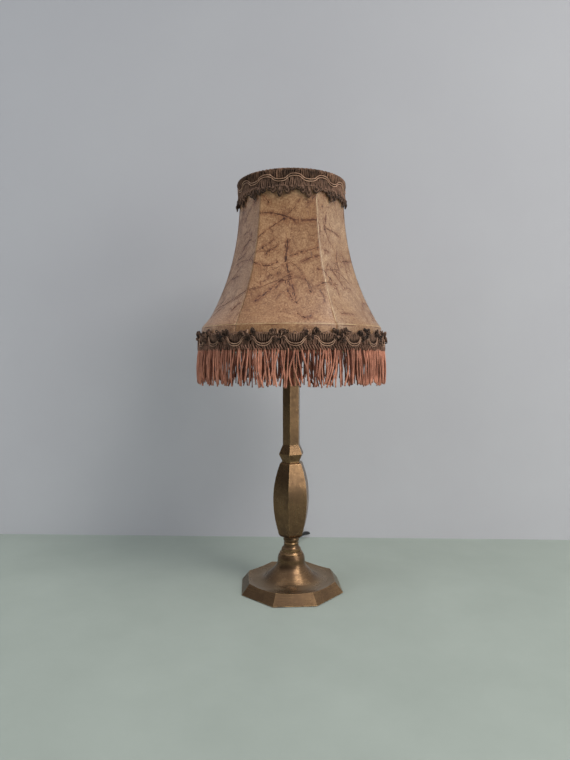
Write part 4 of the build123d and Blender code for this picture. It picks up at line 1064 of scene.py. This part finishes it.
stitches, cords, fans, clusters = [], [], [], []
for index in range(TOP_STITCHES):
    angle = 2 * pi * (index + dice.uniform(-0.25, 0.25)) / TOP_STITCHES
    low = top_wave(angle) + 0.6
    tilt = dice.gauss(0, 0.006)
    over = on_cover(angle, TOP_Z, 0.2) + Vector((0, 0, 0.4 * MM))
    proud = 1.7 + dice.uniform(-0.15, 0.3)
    controls = [
        on_cover(angle + tilt, low, 1.2), on_cover(angle, (low + STITCH_HIGH) / 2, proud),
        on_cover(angle, TOP_Z, 1.35), over, on_cover(angle, EDGE_Z, -0.6)]
    stitches.append(smooth_path(controls, 2))
for lift, drop in ((1.95, 0.0), (2.05, -2.0)):
    controls = []
    for step in range(WAVE_STEPS * TOP_WAVES + 1):
        angle = 2 * pi * step / (WAVE_STEPS * TOP_WAVES)
        controls.append(on_cover(angle, top_wave(angle) + drop, lift))
    cords.append(controls)
for index in range(TOP_FANS):
    angle = 2 * pi * (index + dice.uniform(-0.2, 0.2)) / TOP_FANS
    high = top_wave(angle) - 2.2
    trough = 0.5 - 0.5 * cos(TOP_WAVES * (angle - TOP_CREST))
    low = 410.6 - 2.2 * trough ** 2 + dice.uniform(-0.7, 0.7)
    lean = -0.03 * sin(TOP_WAVES * (angle - TOP_CREST))
    width = 0.017
    tip, shoulder = (lean, low), (lean, low + 1.2)
    fans.append(yarn_loop(angle, high, tip, shoulder, width * 0.6, width, (1.3, 2.0, 1.8), 3))

HANGING = ((-6.4, 4.6), (-0.6, 8.2), (6.2, 5.4), (-11.0, 2.6), (11.2, 2.8))
SIDE_CLUSTERS = ((-1.54, 401.5, 4.6), (-1.48, 404.5, 2.4), (1.62, 402.5, 3.4), (1.68, 405.0, 2.6))
SIDE_HIGH = 411.0
picots, light_clusters = [], []
for wave in range(TOP_WAVES):
    middle = (wave + 0.5) * top_period + TOP_CREST
    for offset, size in HANGING:
        angle = middle + (offset + dice.uniform(-0.8, 0.8)) / WAIST
        size += dice.uniform(-0.6, 1.4)
        sway = dice.gauss(0, 0.012)
        for nest in range(4):
            long = size * (0.62 + 0.16 * nest)
            out = 2.9 - 0.4 * nest + dice.uniform(0, 0.5)
            drawn = hanging_loop(angle, 412.6 - 0.4 * nest, long, sway, 0.5 + 0.62 * nest, out)
            (clusters if nest % 2 else light_clusters).append(drawn)
    for dot in range(9):
        angle = middle + top_period * 0.36 * (dot - 4) / 9
        picots.append([
            on_cover(angle, 413.0, 2.2), on_cover(angle + 0.004, 412.2, 2.5), on_cover(angle, 411.5, 2.1)])
for side, low, lift in SIDE_CLUSTERS:
    for loop in range(3):
        angle = side + dice.gauss(0, 0.03)
        size = SIDE_HIGH - low - dice.uniform(0, 2.5)
        sway = dice.gauss(0, 0.02)
        width = dice.uniform(0.8, 1.6)
        clusters.append(hanging_loop(angle, SIDE_HIGH, size, sway, width, lift * dice.uniform(0.6, 1.1)))
edge = [on_cover(2 * pi * step / EDGE_STEPS, EDGE_Z, 1.1) for step in range(EDGE_STEPS + 1)]
top_stitches = yarns("top_braid_stitches", stitches, 0.62, brown, scatter=0.35)
top_piping = yarns("top_braid_piping", cords, 0.45, piping, 7, ply=0.08, scatter=0.0)
top_fans = yarns("top_braid_fans", fans, 0.44, fan_yarn)
top_clusters = yarns("top_braid_clusters", clusters, 0.62, tuft_yarn, ply=0.12, scatter=0.4)
top_light = yarns("top_braid_picots", light_clusters + picots, 0.5, fan_yarn)
top_edge = yarns("top_braid_edge", [edge], 0.9, brown, 10, 1500, 0.42, 0.0)
for piece in (top_web, top_stitches, top_piping, top_fans, top_clusters, top_light, top_edge):
    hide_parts("top_braid")


# Stage: a painted table top with a wall behind it, the wall's colour darker towards the top as painted shade
def stage_plane(name, corners, material):
    mesh = bpy.data.meshes.new(name)
    mesh.from_pydata([tuple(corner) for corner in corners], [], [tuple(range(len(corners)))])
    mesh.materials.append(material)
    obj = new_object(name, mesh)
    return obj


def stage_finish(name, colour, other, scale, one_sided=False):
    f = Finish(name, rough=0.9, Specular_IOR_Level=0.15)
    cloud = f.span(f.noise(scale, 5, 0.6), 0.3, 0.7)
    paint = f.mix(cloud, colour, other)
    if one_sided:
        # Painted shade: the wall's colour darkens towards the top, where the lamps light it more.
        height = f.axes(f.place)["Z"]
        paint = f.mix(f.span(height, 0.05, 0.75, 0.0, 0.5), paint, rgb(150, 152, 158))
    f.colour(paint)
    f.bump(f.noise(scale * 30, 3), 0.0002, 0.4)
    if one_sided:
        geometry = f.add("NewGeometry")
        clear = f.add("BsdfTransparent").outputs[0]
        blend = f.add("MixShader", {0: geometry.outputs["Backfacing"], 1: f.shader.outputs[0], 2: clear})
        f.link(blend.outputs[0], f.out.inputs["Surface"])
    return f.material


table_finish = stage_finish("table_paint", rgb(157, 166, 158), rgb(165, 174, 166), 9)
wall_finish = stage_finish("wall_paint", rgb(196, 196, 201), rgb(202, 203, 207), 3, one_sided=True)
TABLE_REACH = 2.2
WALL_HEIGHT = 1.9
WALL_SIDE = 1300
corners = [(x * TABLE_REACH, y * TABLE_REACH, 0) for x, y in ((-1, -1), (1, -1), (1, 1), (-1, 1))]
stage_plane("table", corners, table_finish)
edge_left = from_view(-WALL_SIDE, 213.1, 0)
edge_right = from_view(WALL_SIDE, 125.7, 0)
rise = Vector((0, 0, WALL_HEIGHT))
stage_plane("wall", [edge_left, edge_right, edge_right + rise, edge_left + rise], wall_finish)

# Soft studio light: the room is darker to the left of the camera and bright above and to the right
world = bpy.data.worlds.new("world")
scene.world = world
world.use_nodes = True
sky = Tree(world.node_tree)
background = sky.tree.nodes["Background"]
way = sky.axes(sky.add("TexCoord").outputs["Generated"])
strength = sky.most(sky.span(way["X"], -0.45, 0.5, 0.07, 0.46), sky.span(way["Z"], 0.4, 0.95, 0.0, 0.95))
sky.put(background.inputs["Color"], (0.93, 0.95, 1.0, 1))
sky.put(background.inputs["Strength"], strength)


def area_light(name, place, target, size, power, colour=(1, 1, 1), shiny=True):
    data = bpy.data.lights.new(name, "AREA")
    data.shape = "RECTANGLE"
    data.size, data.size_y = size
    data.energy = power
    data.color = colour
    obj = new_object(name, data)
    obj.visible_glossy = shiny
    obj.location = place
    obj.rotation_euler = (Vector(target) - obj.location).to_track_quat("-Z", "Y").to_euler()


area_light(
    "key", place=from_view(880, -800, 1400), target=(0, 0, 0.2), size=(0.7, 0.8), power=15.2,
    colour=(1.0, 0.965, 0.92))
area_light(
    "window", place=from_view(1050, -800, 430), target=(0, 0, 0.25), size=(0.6, 0.7), power=3.4,
    colour=(1.0, 0.97, 0.93))
area_light(
    "fill", place=from_view(-1000, -480, 850), target=(0, 0, 0.2), size=(0.9, 0.9), power=3.9,
    colour=(0.92, 0.96, 1.0), shiny=False)
